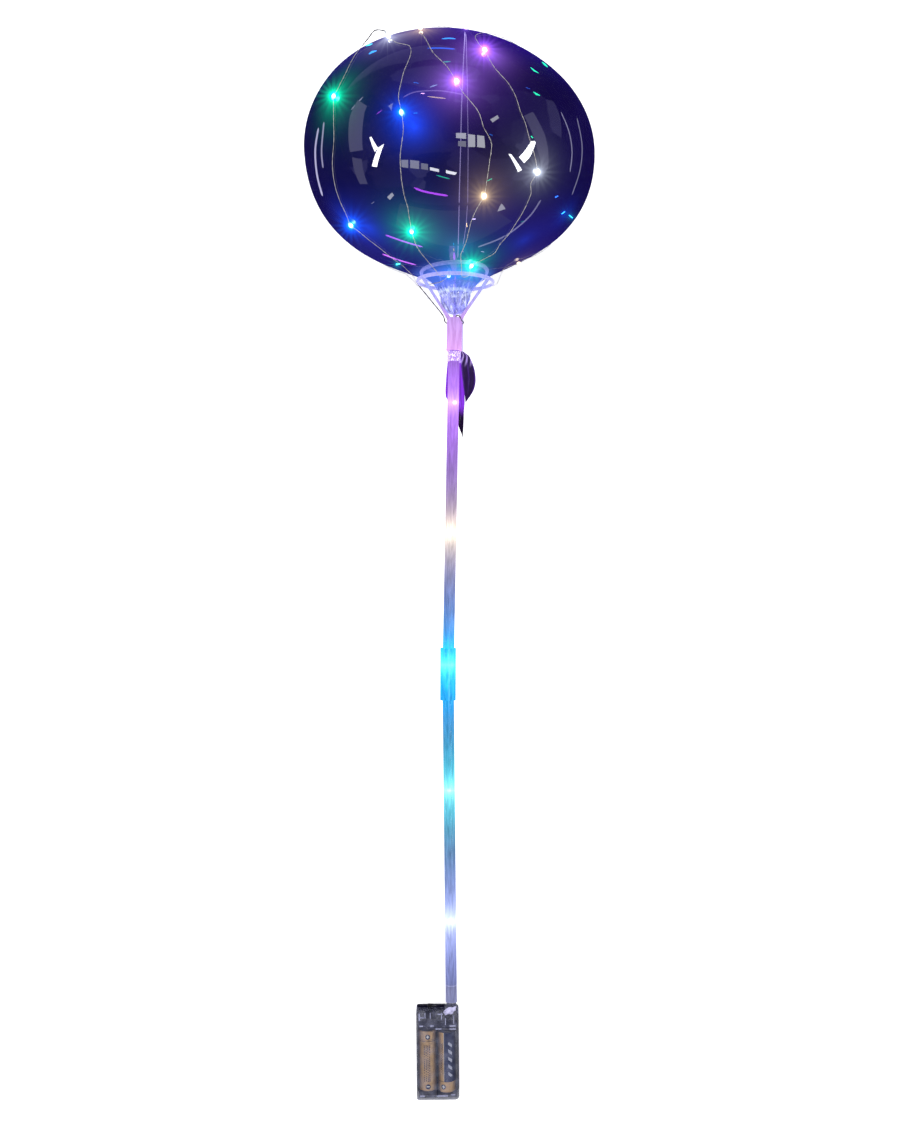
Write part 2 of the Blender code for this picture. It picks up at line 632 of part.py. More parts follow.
class Skin:
    """Finds places on the balloon by degrees down from the crown and round it from the front."""

    def __init__(self):
        self.points = skin_profile(*ROUTE_STEPS)
        self.downs = [
            math.degrees(math.atan2(r / BALLOON_RADIUS, (h - BALLOON_CENTRE) / BALLOON_HALF_HEIGHT))
            for r, h in self.points
        ]

    def spot(self, down, lift):
        """Radius and height of a point lifted off the outline."""
        index = 1
        while index < len(self.downs) - 1 and self.downs[index] < down:
            index += 1
        low, high = Vector(self.points[index - 1]), Vector(self.points[index])
        share = (down - self.downs[index - 1]) / (self.downs[index] - self.downs[index - 1])
        along = (high - low).normalized()
        return low.lerp(high, share) + Vector((-along.y, along.x)) * lift

    def place(self, down, round_deg, lift):
        """The same point in the stick frame."""
        radius, height = self.spot(down, lift)
        angle = math.radians(round_deg)
        return Vector((sway(height) + radius * math.sin(angle), height, radius * math.cos(angle)))


def smooth_step(before, start, end, after, part):
    """A point between start and end on the curve through all four."""
    square, cube = part * part, part ** 3
    return (
        2 * start + (end - before) * part
        + (2 * before - 5 * start + 4 * end - after) * square
        + (3 * start - before - 3 * end + after) * cube
    ) / 2


def skin_stretch(skin, stops):
    """Places along a stretch over the balloon, each with True where a bead sits."""
    stops = [Vector(stop) for stop in stops]
    places = []
    for index, stop in enumerate(stops):
        bead = (round(stop.x), round(stop.y)) in SKIN_BEADS
        places.append((skin.place(stop.x, stop.y, stop.z + (BEAD_LIFT if bead else WIRE_LIFT)), bead))
        if index == len(stops) - 1:
            break
        before, after = stops[max(index - 1, 0)], stops[min(index + 2, len(stops) - 1)]
        turn = abs(stops[index + 1].y - stop.y) * math.sin(math.radians(stop.x))
        count = max(1, round(math.hypot(stops[index + 1].x - stop.x, turn) / SKIN_STEP))
        for step in range(1, count):
            middle = smooth_step(before, stop, stops[index + 1], after, step / count)
            places.append((skin.place(middle.x, middle.y, max(middle.z, 0.0) + WIRE_LIFT), False))
    return places


def stick_stretch():
    """Places along the wire inside the stick."""
    return [(in_stick(*stop), stop[0] in STICK_BEADS) for stop in IN_THE_STICK]


def hook(stops):
    """Places along a stretch round the cup."""
    return [(about_stick(*stop), stop in HOOK_BEADS) for stop in stops]


def whole_route():
    """Every place of the light string in order, from the battery box to its end."""
    skin = Skin()
    return (
        stick_stretch() + hook(ROUND_THE_SOCKET) + skin_stretch(skin, LEFT_LOOP) + hook(LEFT_HOOK)
        + skin_stretch(skin, BACK_LOOP) + hook(BACK_HOOK) + skin_stretch(skin, OVER_THE_CROWN)
        + hook(FRONT_HOOK) + skin_stretch(skin, RIGHT_LOOP) + hook(LAST_HOOK)
    )


def height_over_floor(place, tilt):
    """Height over the floor of a place in the stick frame."""
    return place.y * math.sin(tilt) + place.z * math.cos(tilt) + lift_at(tilt)


def off_the_floor(place, radius, tilt):
    """The same place, raised where a wire or bead of that radius would touch the floor."""
    short = radius + FLOOR_GAP - height_over_floor(place, tilt)
    return place + Vector((0.0, 0.0, max(short, 0.0) / math.cos(tilt)))


def string_points(tilt):
    """Points of the light string with the wire's radius at each, thicker at the beads."""
    stops = [(off_the_floor(place, BEAD if bead else WIRE, tilt), bead) for place, bead in whole_route()]
    points = []
    for index, (place, bead) in enumerate(stops):
        before, after = stops[max(index - 1, 0)][0], stops[min(index + 1, len(stops) - 1)][0]
        if bead:
            along = (after - before).normalized()
            out, full = BEAD_SHOULDER
            shape = ((-1, WIRE), (-out, full * BEAD), (0, BEAD), (out, full * BEAD), (1, WIRE))
            for share, radius in shape:
                points.append((place + along * BEAD_HALF_LENGTH * share, radius))
        else:
            points.append((place, WIRE))
        if index + 1 < len(stops):
            last = stops[min(index + 2, len(stops) - 1)][0]
            count = int((after - place).length / STRING_STEP) + 1
            for step in range(1, count):
                between = smooth_step(before, place, after, last, step / count)
                points.append((off_the_floor(between, WIRE, tilt), WIRE))
    return points


def string_curve(name, points, parent, roundness, look=None):
    """A round wire through the points."""
    curve = bpy.data.curves.new(name, "CURVE")
    curve.dimensions = "3D"
    curve.bevel_depth = 1.0
    curve.bevel_resolution = roundness
    curve.use_fill_caps = True
    spline = curve.splines.new("POLY")
    spline.points.add(len(points) - 1)
    for point, (place, radius) in zip(spline.points, points):
        point.co = (*place, 1.0)
        point.radius = radius
    if look:
        curve.materials.append(look)
    made = bpy.data.objects.new(name, curve)
    bpy.context.scene.collection.objects.link(made)
    made.parent = parent
    return made


def solid_of(item, name, parent):
    """A mesh copy of a curve, for cutting with."""
    bpy.context.view_layer.update()
    mesh = bpy.data.meshes.new_from_object(item.evaluated_get(bpy.context.evaluated_depsgraph_get()))
    made = bpy.data.objects.new(name, mesh)
    bpy.context.scene.collection.objects.link(made)
    made.parent = parent
    return made


def pressed_runs(points, tilt):
    """The stretches of wire that lie between the balloon and the floor."""
    runs, run = [], []
    for place, radius in points:
        if height_over_floor(place, tilt) < GROOVE_BELOW and place.y > RING_HEIGHT:
            run.append((place, radius + GROOVE_GAP))
        elif run:
            runs.append(run)
            run = []
    return runs


def tail(upper):
    """Solids of the film tail: strip, wrap, leaf and back strip."""
    strip = bmesh.new()
    angle = math.radians(TAIL_BACK)
    out = Vector((math.sin(angle), 0.0, math.cos(angle)))
    side = Vector((math.cos(angle), 0.0, -math.sin(angle))) * TAIL_STRIP_WIDTH / 2
    rows = []
    for radius, height in TAIL_STRIP:
        inner = out * radius + Vector((0.0, height - STICK_BREAK, 0.0))
        outer = inner + out * FILM + Vector((0.0, FILM / 2, 0.0))
        rows.append([strip.verts.new(p) for p in (inner - side, inner + side, outer + side, outer - side)])
    for near, far in zip(rows, rows[1:]):
        for index in range(4):
            ahead = (index + 1) % 4
            strip.faces.new((near[index], near[ahead], far[ahead], far[index]))
    strip.faces.new(rows[0])
    strip.faces.new(rows[-1])
    low, high = (height - STICK_BREAK for height in WRAP_HEIGHTS)
    wrap = pipe(WRAP_RADIUS, TUBE_RADIUS + GAP, low, high, WRAP_SIDES)
    leaf = slab([(x, y - STICK_BREAK) for x, y in LEAF], LEAF_DEPTH - FILM, LEAF_DEPTH)
    back = slab([(x, y - STICK_BREAK) for x, y in BACK_STRIP], BACK_STRIP_DEPTH, BACK_STRIP_DEPTH + FILM)
    return [
        put("add_" + name, bm, upper)
        for name, bm in (("tail_strip", strip), ("tail_wrap", wrap), ("tail_leaf", leaf), ("tail_back", back))
    ]


def balloon(head, upper, points, tilt, looks):
    """The balloon with its neck and tail, flat where it lies, grooved where the wire is under it."""
    profile = [(radius, height - RING_HEIGHT) for radius, height in skin_profile() + list(NECK_FOOT)]
    bm = turned(profile, BALLOON_SIDES)
    for vert in bm.verts:
        vert.co.x += sway(vert.co.y + RING_HEIGHT)
    made = put("balloon_envelope", bm, head, looks["film"])
    lobe = bmesh.new()
    bmesh.ops.create_icosphere(lobe, subdivisions=1, radius=NECK_LOBE_RADIUS)
    radius, degrees, height = NECK_LOBE
    angle = math.radians(degrees)
    centre = (radius * math.sin(angle), height - STICK_BREAK, radius * math.cos(angle))
    bmesh.ops.translate(lobe, vec=centre, verts=lobe.verts)
    for tool in [put("add_neck_lobe", lobe, upper)] + tail(upper):
        combine(made, tool, "UNION")
    floor = put("cut_floor", block(FLOOR_SIZE, FLOOR_CENTRE), None)
    combine(made, floor, "DIFFERENCE")
    lay = head.parent
    for index, run in enumerate(pressed_runs(points, tilt)):
        guide = string_curve(f"groove_guide_{index + 1}", run, lay, GROOVE_ROUNDNESS)
        guide.hide_render = True
        groove = solid_of(guide, f"cut_groove_{index + 1}", lay)
        bpy.data.objects.remove(guide, do_unlink=True)
        combine(made, groove, "DIFFERENCE")


def main():
    """Build every piece."""
    clear_scene()
    looks = {
        "film": plastic("balloon_film", (0.06, 0.05, 0.16), 0.06, alpha=0.8),
        "clear": plastic("clear_plastic", (0.78, 0.76, 0.92), 0.15, alpha=0.6),
        "smoky": plastic("smoky_plastic", (0.25, 0.25, 0.32), 0.2, alpha=0.6),
        "cell_gold": plastic("cell_gold", (0.62, 0.40, 0.16), 0.35, 0.6),
        "cell_navy": plastic("cell_navy", (0.04, 0.06, 0.14), 0.35, 0.3),
        "metal": plastic("plated_steel", (0.70, 0.70, 0.68), 0.3, 1.0),
        "black": plastic("black_plastic", (0.02, 0.02, 0.02), 0.4),
        "wire": plastic("champagne_wire", (0.70, 0.62, 0.50), 0.35, 0.8),
    }
    tilt = lying_tilt()
    lay = empty("lay", None, (0.0, -lying_middle(tilt), lift_at(tilt)), (math.degrees(tilt), 0, 0))
    joint = (STICK_X, STICK_BREAK, 0.0)
    upper = empty("upper_axis", lay, joint, (0, 0, -UPPER_LEAN))
    lower = empty("lower_axis", lay, joint, (0, 0, LOWER_LEAN))
    sleeve = empty("sleeve_axis", lay, joint, (0, 0, (LOWER_LEAN - UPPER_LEAN) / 2))
    head = empty("balloon_axis", lay, (0.0, RING_HEIGHT, 0.0))
    case = empty("box_axis", lay, (BOX_X, 0.0, 0.0), (0, 0, BOX_LEAN))
    box_case(case, looks["smoky"])
    box_cover(case, looks["smoky"])
    cells_and_contacts(case, looks)
    slide_switch(case, looks)
    stick(upper, lower, sleeve, looks)
    cup(upper, looks)
    points = string_points(tilt)
    string_curve("light_string", points, lay, WIRE_ROUNDNESS, looks["wire"])
    balloon(head, upper, points, tilt, looks)


main()
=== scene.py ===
"""Looks of the LED balloon: a clear balloon in a cup on a stick, with a battery box and a light string.

Places are worked out in the stick frame, as in the part's source: X to the right, Y along the stick
from the foot of the battery box to the balloon, Z out of the front. LAY turns that frame into the
world, where the object lies on the floor. Lengths are in metres and angles in degrees.
"""

import logging
import math
from dataclasses import dataclass, field
from enum import Enum
from typing import Callable, Iterable, Optional, Sequence, Union

import bmesh
import bpy
import numpy as np
from mathutils import Matrix, Vector, noise
from mathutils.interpolate import poly_3d_calc
from mathutils.bvhtree import BVHTree


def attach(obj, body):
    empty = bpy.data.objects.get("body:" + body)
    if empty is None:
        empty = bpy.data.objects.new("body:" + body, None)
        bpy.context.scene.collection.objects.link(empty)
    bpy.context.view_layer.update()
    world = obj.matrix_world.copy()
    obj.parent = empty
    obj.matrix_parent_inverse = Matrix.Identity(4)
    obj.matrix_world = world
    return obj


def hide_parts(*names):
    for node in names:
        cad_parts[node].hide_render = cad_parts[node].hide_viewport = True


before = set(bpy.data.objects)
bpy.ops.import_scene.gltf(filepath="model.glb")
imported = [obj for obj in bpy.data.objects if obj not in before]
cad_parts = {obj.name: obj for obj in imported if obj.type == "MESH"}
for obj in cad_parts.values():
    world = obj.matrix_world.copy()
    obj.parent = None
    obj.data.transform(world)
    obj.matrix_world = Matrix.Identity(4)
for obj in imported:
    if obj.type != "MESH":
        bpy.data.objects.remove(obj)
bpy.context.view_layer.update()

log = logging.getLogger("led_balloon")

TILT = math.radians(8.05869436)
MIDDLE = 0.42932816
LIFT = 0.00925 * math.cos(TILT)
LAY = Matrix.Translation((0.0, -MIDDLE, LIFT)) @ Matrix.Rotation(TILT, 4, "X")
FRONT = (0.0, -math.sin(TILT), math.cos(TILT))
UPWARD = (0.0, math.cos(TILT), math.sin(TILT))

Colour = tuple[float, float, float]
Place = tuple[float, float, float]
Pair = tuple[float, float]


class Lamp(Enum):
    """Colours of the lights, as linear RGB."""

    BLUE = (0.004, 0.065, 1.000)
    GREEN = (0.000, 0.900, 0.420)
    TURQUOISE = (0.050, 1.000, 0.850)
    CYAN = (0.020, 0.620, 1.000)
    WHITE = (0.800, 0.850, 1.000)
    VIOLET = (0.440, 0.180, 1.000)
    LILAC = (0.540, 0.380, 1.000)
    WARM = (1.000, 0.680, 0.340)


class Body(Enum):
    """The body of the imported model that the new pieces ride."""

    MAIN = "body"


@dataclass(frozen=True)
class Light:
    """One light of the string: its colour and how strongly it shines."""

    lamp: Lamp
    power: float

    @property
    def colour(self) -> Vector:
        """Colour times power."""
        return Vector(self.lamp.value) * self.power


# The stretch in the stick: height along it, and how far the wire strays to the right and forward
IN_THE_STICK = (
    (0.0640, 0.0, 0.0), (0.0760, 0.0, 0.0), (0.0960, 0.0003, 0.0004), (0.1180, 0.0012, 0.0006),
    (0.1440, -0.0003, 0.0010), (0.1760, 0.0010, 0.0002), (0.2150, -0.0011, 0.0003),
    (0.2518, -0.0002, 0.0010), (0.2900, 0.0012, -0.0004), (0.3250, 0.0009, 0.0004),
    (0.3550, -0.0010, 0.0009), (0.3950, -0.0012, 0.0004), (0.4300, 0.0006, -0.0005),
    (0.4639, 0.0007, 0.0010), (0.5000, -0.0010, 0.0004), (0.5380, 0.0011, -0.0003),
    (0.5708, 0.0013, 0.0008), (0.6050, -0.0004, 0.0006), (0.6280, 0.0002, 0.0004),
)
STICK_LIGHTS = {
    0.1440: Light(Lamp.WHITE, 2.6), 0.2518: Light(Lamp.TURQUOISE, 2.2), 0.3550: Light(Lamp.CYAN, 2.6),
    0.4639: Light(Lamp.WARM, 2.4), 0.5708: Light(Lamp.LILAC, 3.0),
}

# Stretches round the cup: distance from the stick's axis, degrees round it, height along it
ROUND_THE_SOCKET = (
    (0.0022, 20, 0.6405), (0.0045, 28, 0.6418), (0.0074, 32, 0.6410), (0.0078, 48, 0.6376),
    (0.0077, 90, 0.6370), (0.0077, 135, 0.6368), (0.0077, 180, 0.6368), (0.0077, 225, 0.6370),
    (0.0079, 262, 0.6374), (0.0100, 284, 0.6420), (0.0180, 288, 0.6505), (0.0265, 288, 0.6595),
    (0.0338, 288, 0.6675), (0.0360, 287, 0.6718),
)
LEFT_HOOK = (
    (0.0352, -27, 0.6722), (0.0336, -24, 0.6690), (0.0306, -20, 0.6680), (0.0240, -13, 0.6700),
    (0.0205, -35, 0.6665), (0.0222, -60, 0.6660), (0.0245, -85, 0.6665), (0.0275, -98, 0.6672),
    (0.0310, -104, 0.6680), (0.0340, -107, 0.6695), (0.0362, -109, 0.6725),
)
BACK_HOOK = (
    (0.0355, -189, 0.6722), (0.0338, -190, 0.6690), (0.0310, -193, 0.6680), (0.0272, -198, 0.6672),
    (0.0310, -204, 0.6680), (0.0338, -207, 0.6690), (0.0355, -208, 0.6722),
)
FRONT_HOOK = (
    (0.0350, 8, 0.6722), (0.0336, 8, 0.6690), (0.0310, 10, 0.6680), (0.0285, 13, 0.6682),
    (0.0310, 16, 0.6680), (0.0338, 19, 0.6690),
)
LAST_HOOK = ((0.0355, 92, 0.6722), (0.0338, 91, 0.6690), (0.0308, 90, 0.6680), (0.0280, 89, 0.6690))
HOOK_LIGHTS = {(0.0240, -13, 0.6700): Light(Lamp.BLUE, 0.45)}

# Stretches over the balloon: degrees down from its crown and degrees round it
LEFT_LOOP = (
    (161, -73), (155, -66), (148, -62), (135, -62), (129, -59), (120, -56), (109, -52), (99, -48),
    (88, -47), (79, -47), (68, -44), (58, -44), (50, -45), (43, -43), (39, -41), (37, -37), (46, -28),
    (54, -21), (58, -15), (65, -14), (74, -16), (80, -17), (87, -18), (94, -17), (102, -17), (111, -19),
    (118, -20), (129, -21), (134, -21), (145, -24), (153, -28), (159, -30),
)
BACK_LOOP = (
    (160, -118), (147, -127), (131, -126), (116, -123), (100, -123), (82, -122), (61, -126), (49, -130),
    (30, -145), (18, -165), (9, -200), (9, -232), (13, -226), (19, -210), (26, -202), (39, -193),
    (52, -189), (66, -186), (80, -185), (92, -184), (108, -184), (123, -184), (135, -186), (147, -188),
    (159, -190),
)
OVER_THE_CROWN = (
    (159, -208), (147, -197), (135, -191), (123, -189), (113, -188), (103, -188), (92, -188),
    (80, -190), (67, -191), (52, -193), (39, -198), (26, -207), (19, -218), (14, -242), (13, -285),
    (18, -330), (23, -355), (30, -368), (40, -372), (53, -368), (64, -365), (73, -360), (81, -357),
    (86, -355), (94, -350), (101, -348), (107, -345), (114, -345), (121, -345), (129, -345),
    (136, -347), (143, -348), (152, -348), (160, -351),
)
RIGHT_LOOP = (
    (165, 24), (162, 34), (157, 42), (151, 40), (146, 40), (140, 39), (132, 38), (125, 37), (121, 35),
    (116, 36), (103, 30), (97, 28), (92, 26), (84, 24), (79, 22), (72, 18), (62, 16), (54, 15),
    (47, 17), (40, 26), (36, 40), (36, 58), (43, 80), (50, 96), (57, 106), (65, 113), (73, 114),
    (81, 116), (91, 120), (99, 126), (107, 126), (118, 121), (130, 114), (142, 105), (154, 92),
    (161, 92),
)
LOOP_LIFTS = {(43, -43): 0.0030, (39, -41): 0.0060, (37, -37): 0.0034}
SKIN_LIGHTS = {
    (down, turn): Light(lamp, power) for down, turn, lamp, power in (
        (135, -62, Lamp.BLUE, 1.0), (79, -47, Lamp.GREEN, 0.8), (46, -28, Lamp.WHITE, 0.55),
        (94, -17, Lamp.BLUE, 0.7), (145, -24, Lamp.GREEN, 0.8), (131, -126, Lamp.GREEN, 0.3),
        (82, -122, Lamp.BLUE, 0.05), (30, -145, Lamp.VIOLET, 0.2), (66, -186, Lamp.LILAC, 0.1),
        (123, -184, Lamp.BLUE, 0.25), (113, -188, Lamp.WARM, 0.3), (67, -191, Lamp.LILAC, 0.1),
        (18, -330, Lamp.VIOLET, 0.5), (40, -372, Lamp.WARM, 0.5), (81, -357, Lamp.VIOLET, 0.8),
        (129, -345, Lamp.WARM, 0.35), (165, 24, Lamp.GREEN, 0.7), (116, 36, Lamp.WHITE, 0.32),
        (62, 16, Lamp.VIOLET, 1.1), (43, 80, Lamp.GREEN, 0.3), (99, 126, Lamp.BLUE, 0.4),
        (154, 92, Lamp.WARM, 0.10),
    )
}

# Places of the film that catch more light: degrees down and round, the light, and its share
HAZE_SPOTS = (
    (81, -357, Lamp.VIOLET, 0.60), (62, 16, Lamp.VIOLET, 0.45), (100, -13, Lamp.BLUE, 1.10),
    (30, 10, Lamp.BLUE, 0.10), (140, -52, Lamp.BLUE, 0.45), (151, -20, Lamp.TURQUOISE, 0.12),
    (156, 8, Lamp.CYAN, 0.30), (146, 58, Lamp.BLUE, 0.25), (128, 70, Lamp.BLUE, 0.25),
)


STRETCH_STEPS = 8


def smooth_step(before: Vector, start: Vector, end: Vector, after: Vector, part: float) -> Vector:
    """Find a point on the smooth curve through four points.

    Args:
        before: Point before the stretch.
        start: Start of the stretch.
        end: End of the stretch.
        after: Point after the stretch.
        part: Share of the way from start to end.

    Returns:
        The point at that share.
    """
    square, cube = part * part, part ** 3
    return (
        2 * start + (end - before) * part
        + (2 * before - 5 * start + 4 * end - after) * square
        + (3 * start - before - 3 * end + after) * cube
    ) / 2


def four_stops(stops: Sequence, index: int) -> list:
    """Give the two ends of a stretch with the stops before and after it, or the list's own ends again."""
    return [stops[min(max(index + step, 0), len(stops) - 1)] for step in (-1, 0, 1, 2)]


def smooth_line(stops: Sequence[Vector], spacing: Optional[float] = None) -> list[Vector]:
    """List points of a smooth line through stops, without the last stop.

    Args:
        stops: The stops.
        spacing: Rough distance between points, or None for a set number of points in each stretch.

    Returns:
        The points.
    """
    points = []
    for index in range(len(stops) - 1):
        four = four_stops(stops, index)
        count = max(1, round((four[2] - four[1]).length / spacing)) if spacing else STRETCH_STEPS
        points += [smooth_step(*four, step / count) for step in range(count)]
    return points


def bezier(start: Vector, first: Vector, second: Vector, end: Vector, steps: int) -> list[Pair]:
    """List points of a cubic curve in a plane, without its start.

    Args:
        start: First end of the curve.
        first: Its first handle.
        second: Its second handle.
        end: Its other end.
        steps: How many points are given.

    Returns:
        The points as pairs.
    """
    points = []
    for index in range(1, steps + 1):
        t = index / steps
        s = 1 - t
        weights = (s ** 3, 3 * s * s * t, 3 * s * t * t, t ** 3)
        both = (start, first, second, end)
        points.append(tuple(sum(w * p[axis] for w, p in zip(weights, both)) for axis in (0, 1)))
    return points


def ease(low: float, high: float, value: float) -> float:
    """Go smoothly from 0 at low to 1 at high."""
    part = min(max((value - low) / (high - low), 0.0), 1.0)
    return part * part * (3 - 2 * part)


def carried_sides(line: np.ndarray, start: Place) -> tuple[np.ndarray, list]:
    """Carry two side directions along a line without twisting them.

    Args:
        line: The line.
        start: A direction that the line doesn't start in.

    Returns:
        The line's own direction at each point, and the two side directions there.
    """
    ways = np.gradient(line, axis=0)
    ways /= np.linalg.norm(ways, axis=1)[:, None]
    normal, sides = np.cross(ways[0], start), []
    for way in ways:
        normal = normal - way * np.dot(normal, way)
        normal /= np.linalg.norm(normal)
        sides.append((normal.copy(), np.cross(way, normal)))
    return ways, sides


def ring_faces(rings: int, sides: int, closed: bool = False) -> list[tuple[int, ...]]:
    """List the faces between rings of corners.

    Args:
        rings: How many rings there are.
        sides: Corners of each ring.
        closed: Whether the last ring joins the first.

    Returns:
        The faces.
    """
    return [
        (row * sides + side, row * sides + (side + 1) % sides,
         (row + 1) % rings * sides + (side + 1) % sides, (row + 1) % rings * sides + side)
        for row in range(rings if closed else rings - 1) for side in range(sides)
    ]


@dataclass(frozen=True)
class StickLine:
    """The two leaning halves of the stick, which meet at its joint."""

    joint: Place = (-0.0016, 0.3472, 0.0)
    upper_lean: float = 1.07
    lower_lean: float = 0.57

    def turned(self, lean: float, local: Place) -> Vector:
        """Turn a place, measured from the joint, by a half's lean and into the stick frame."""
        return Vector(self.joint) + Matrix.Rotation(math.radians(lean), 3, "Z") @ Vector(local)

    def inside(self, height: float, aside: float, forward: float) -> Vector:
        """Find a place in the stick at a height, so far to the right of its axis and in front of it."""
        lean = -self.upper_lean if height > self.joint[1] else self.lower_lean
        return self.turned(lean, (aside, height - self.joint[1], forward))

    def about(self, radius: float, round_deg: float, height: float) -> Vector:
        """Find a place round the upper half of the stick.

        Args:
            radius: Distance from its axis.
            round_deg: Degrees round it from the front.
            height: Height along it.

        Returns:
            The place in the stick frame.
        """
        angle = math.radians(round_deg)
        local = (radius * math.sin(angle), height - self.joint[1], radius * math.cos(angle))
        return self.turned(-self.upper_lean, local)


STICK = StickLine()
SKIN_STEPS = (120, 60, 12)


@dataclass(frozen=True)
class BalloonShape:
    """Outline of the balloon, the same as in the part's source."""

    radius: float = 0.1190
    half_height: float = 0.092
    centre: float = 0.7750
    cone_start: float = 91
    cone_end: Pair = (0.0216, 0.6713)
    cone_slope: Pair = (-0.841, -0.542)
    cone_pulls: Pair = (0.52, 0.23)
    neck_radius: float = 0.0115
    neck_top: float = 0.6615
    throat_pull: float = 0.006
    ring_height: float = 0.6705
    sway_stops: tuple[Pair, ...] = (
        (0.6900, 0.0001), (0.7150, 0.0004), (0.7450, 0.0004), (0.7800, -0.0008),
        (0.8150, -0.0031), (0.8450, -0.0064), (0.8680, -0.0070),
    )

    def outline(self, crown: int, cone: int, throat: int) -> list[Pair]:
        """List the half outline from the crown to the top of the neck.

        Args:
            crown: Steps over the crown.
            cone: Steps from the widest place to the ring.
            throat: Steps from the ring into the neck.

        Returns:
            Points of (radius, height).
        """
        points = []
        for index in range(crown + 1):
            angle = math.radians(self.cone_start * index / crown)
            points.append((self.radius * math.sin(angle), self.centre + self.half_height * math.cos(angle)))
        start, end = Vector(points[-1]), Vector(self.cone_end)
        angle = math.radians(self.cone_start)
        along = Vector((self.radius * math.cos(angle), -self.half_height * math.sin(angle))).normalized()
        slope = Vector(self.cone_slope).normalized()
        first, second = ((end - start).length * pull for pull in self.cone_pulls)
        points += bezier(start, start + along * first, end - slope * second, end, cone)
        neck = Vector((self.neck_radius, self.neck_top))
        below = neck - Vector((0.0, self.throat_pull))
        return points + bezier(end, end + slope * self.throat_pull, neck, below, throat)

    def sway(self, height: float) -> float:
        """Find how far to the right the balloon's middle lies.

        Args:
            height: Height in the stick frame.

        Returns:
            The distance to the right.
        """
        middle = STICK.about(0.0, 0.0, self.ring_height).x
        if height <= self.ring_height:
            return middle + (height - self.ring_height) * math.tan(math.radians(STICK.upper_lean))
        stops = [(self.ring_height, middle)] + list(self.sway_stops)
        slopes = []
        for index in range(len(stops)):
            before, after = stops[max(index - 1, 0)], stops[min(index + 1, len(stops) - 1)]
            slopes.append((after[1] - before[1]) / (after[0] - before[0]))
        index = 0
        while index < len(stops) - 2 and stops[index + 1][0] < height:
            index += 1
        (low, first), (high, last) = stops[index], stops[index + 1]
        part = (height - low) / (high - low)
        turn = (high - low) * (slopes[index] * (1 - part) - slopes[index + 1] * part)
        return first + (last - first) * part * part * (3 - 2 * part) + part * (1 - part) * turn


SHAPE = BalloonShape()


class Skin:
    """Finds places on the balloon by degrees down from the crown and round it from the front."""

    def __init__(self) -> None:
        """Work out the outline once."""
        self.points = SHAPE.outline(*SKIN_STEPS)
        self.downs = [
            math.degrees(math.atan2(r / SHAPE.radius, (h - SHAPE.centre) / SHAPE.half_height))
            for r, h in self.points
        ]

    def place(self, down: float, round_deg: float, lift: float) -> Vector:
        """Find a place on the balloon or over it.

        Args:
            down: Degrees down from the crown.
            round_deg: Degrees round it from the front.
            lift: Height over the film.

        Returns:
            The place in the stick frame.
        """
        index = 1
        while index < len(self.downs) - 1 and self.downs[index] < down:
            index += 1
        low, high = Vector(self.points[index - 1]), Vector(self.points[index])
        share = (down - self.downs[index - 1]) / (self.downs[index] - self.downs[index - 1])
        along = (high - low).normalized()
        radius, height = low.lerp(high, share) + Vector((-along.y, along.x)) * lift
        angle = math.radians(round_deg)
        return Vector((SHAPE.sway(height) + radius * math.sin(angle), height, radius * math.cos(angle)))


UNLIT = (0.0, 0.0, 0.0)
TUBE_START = (0.31, 0.22, 0.92)


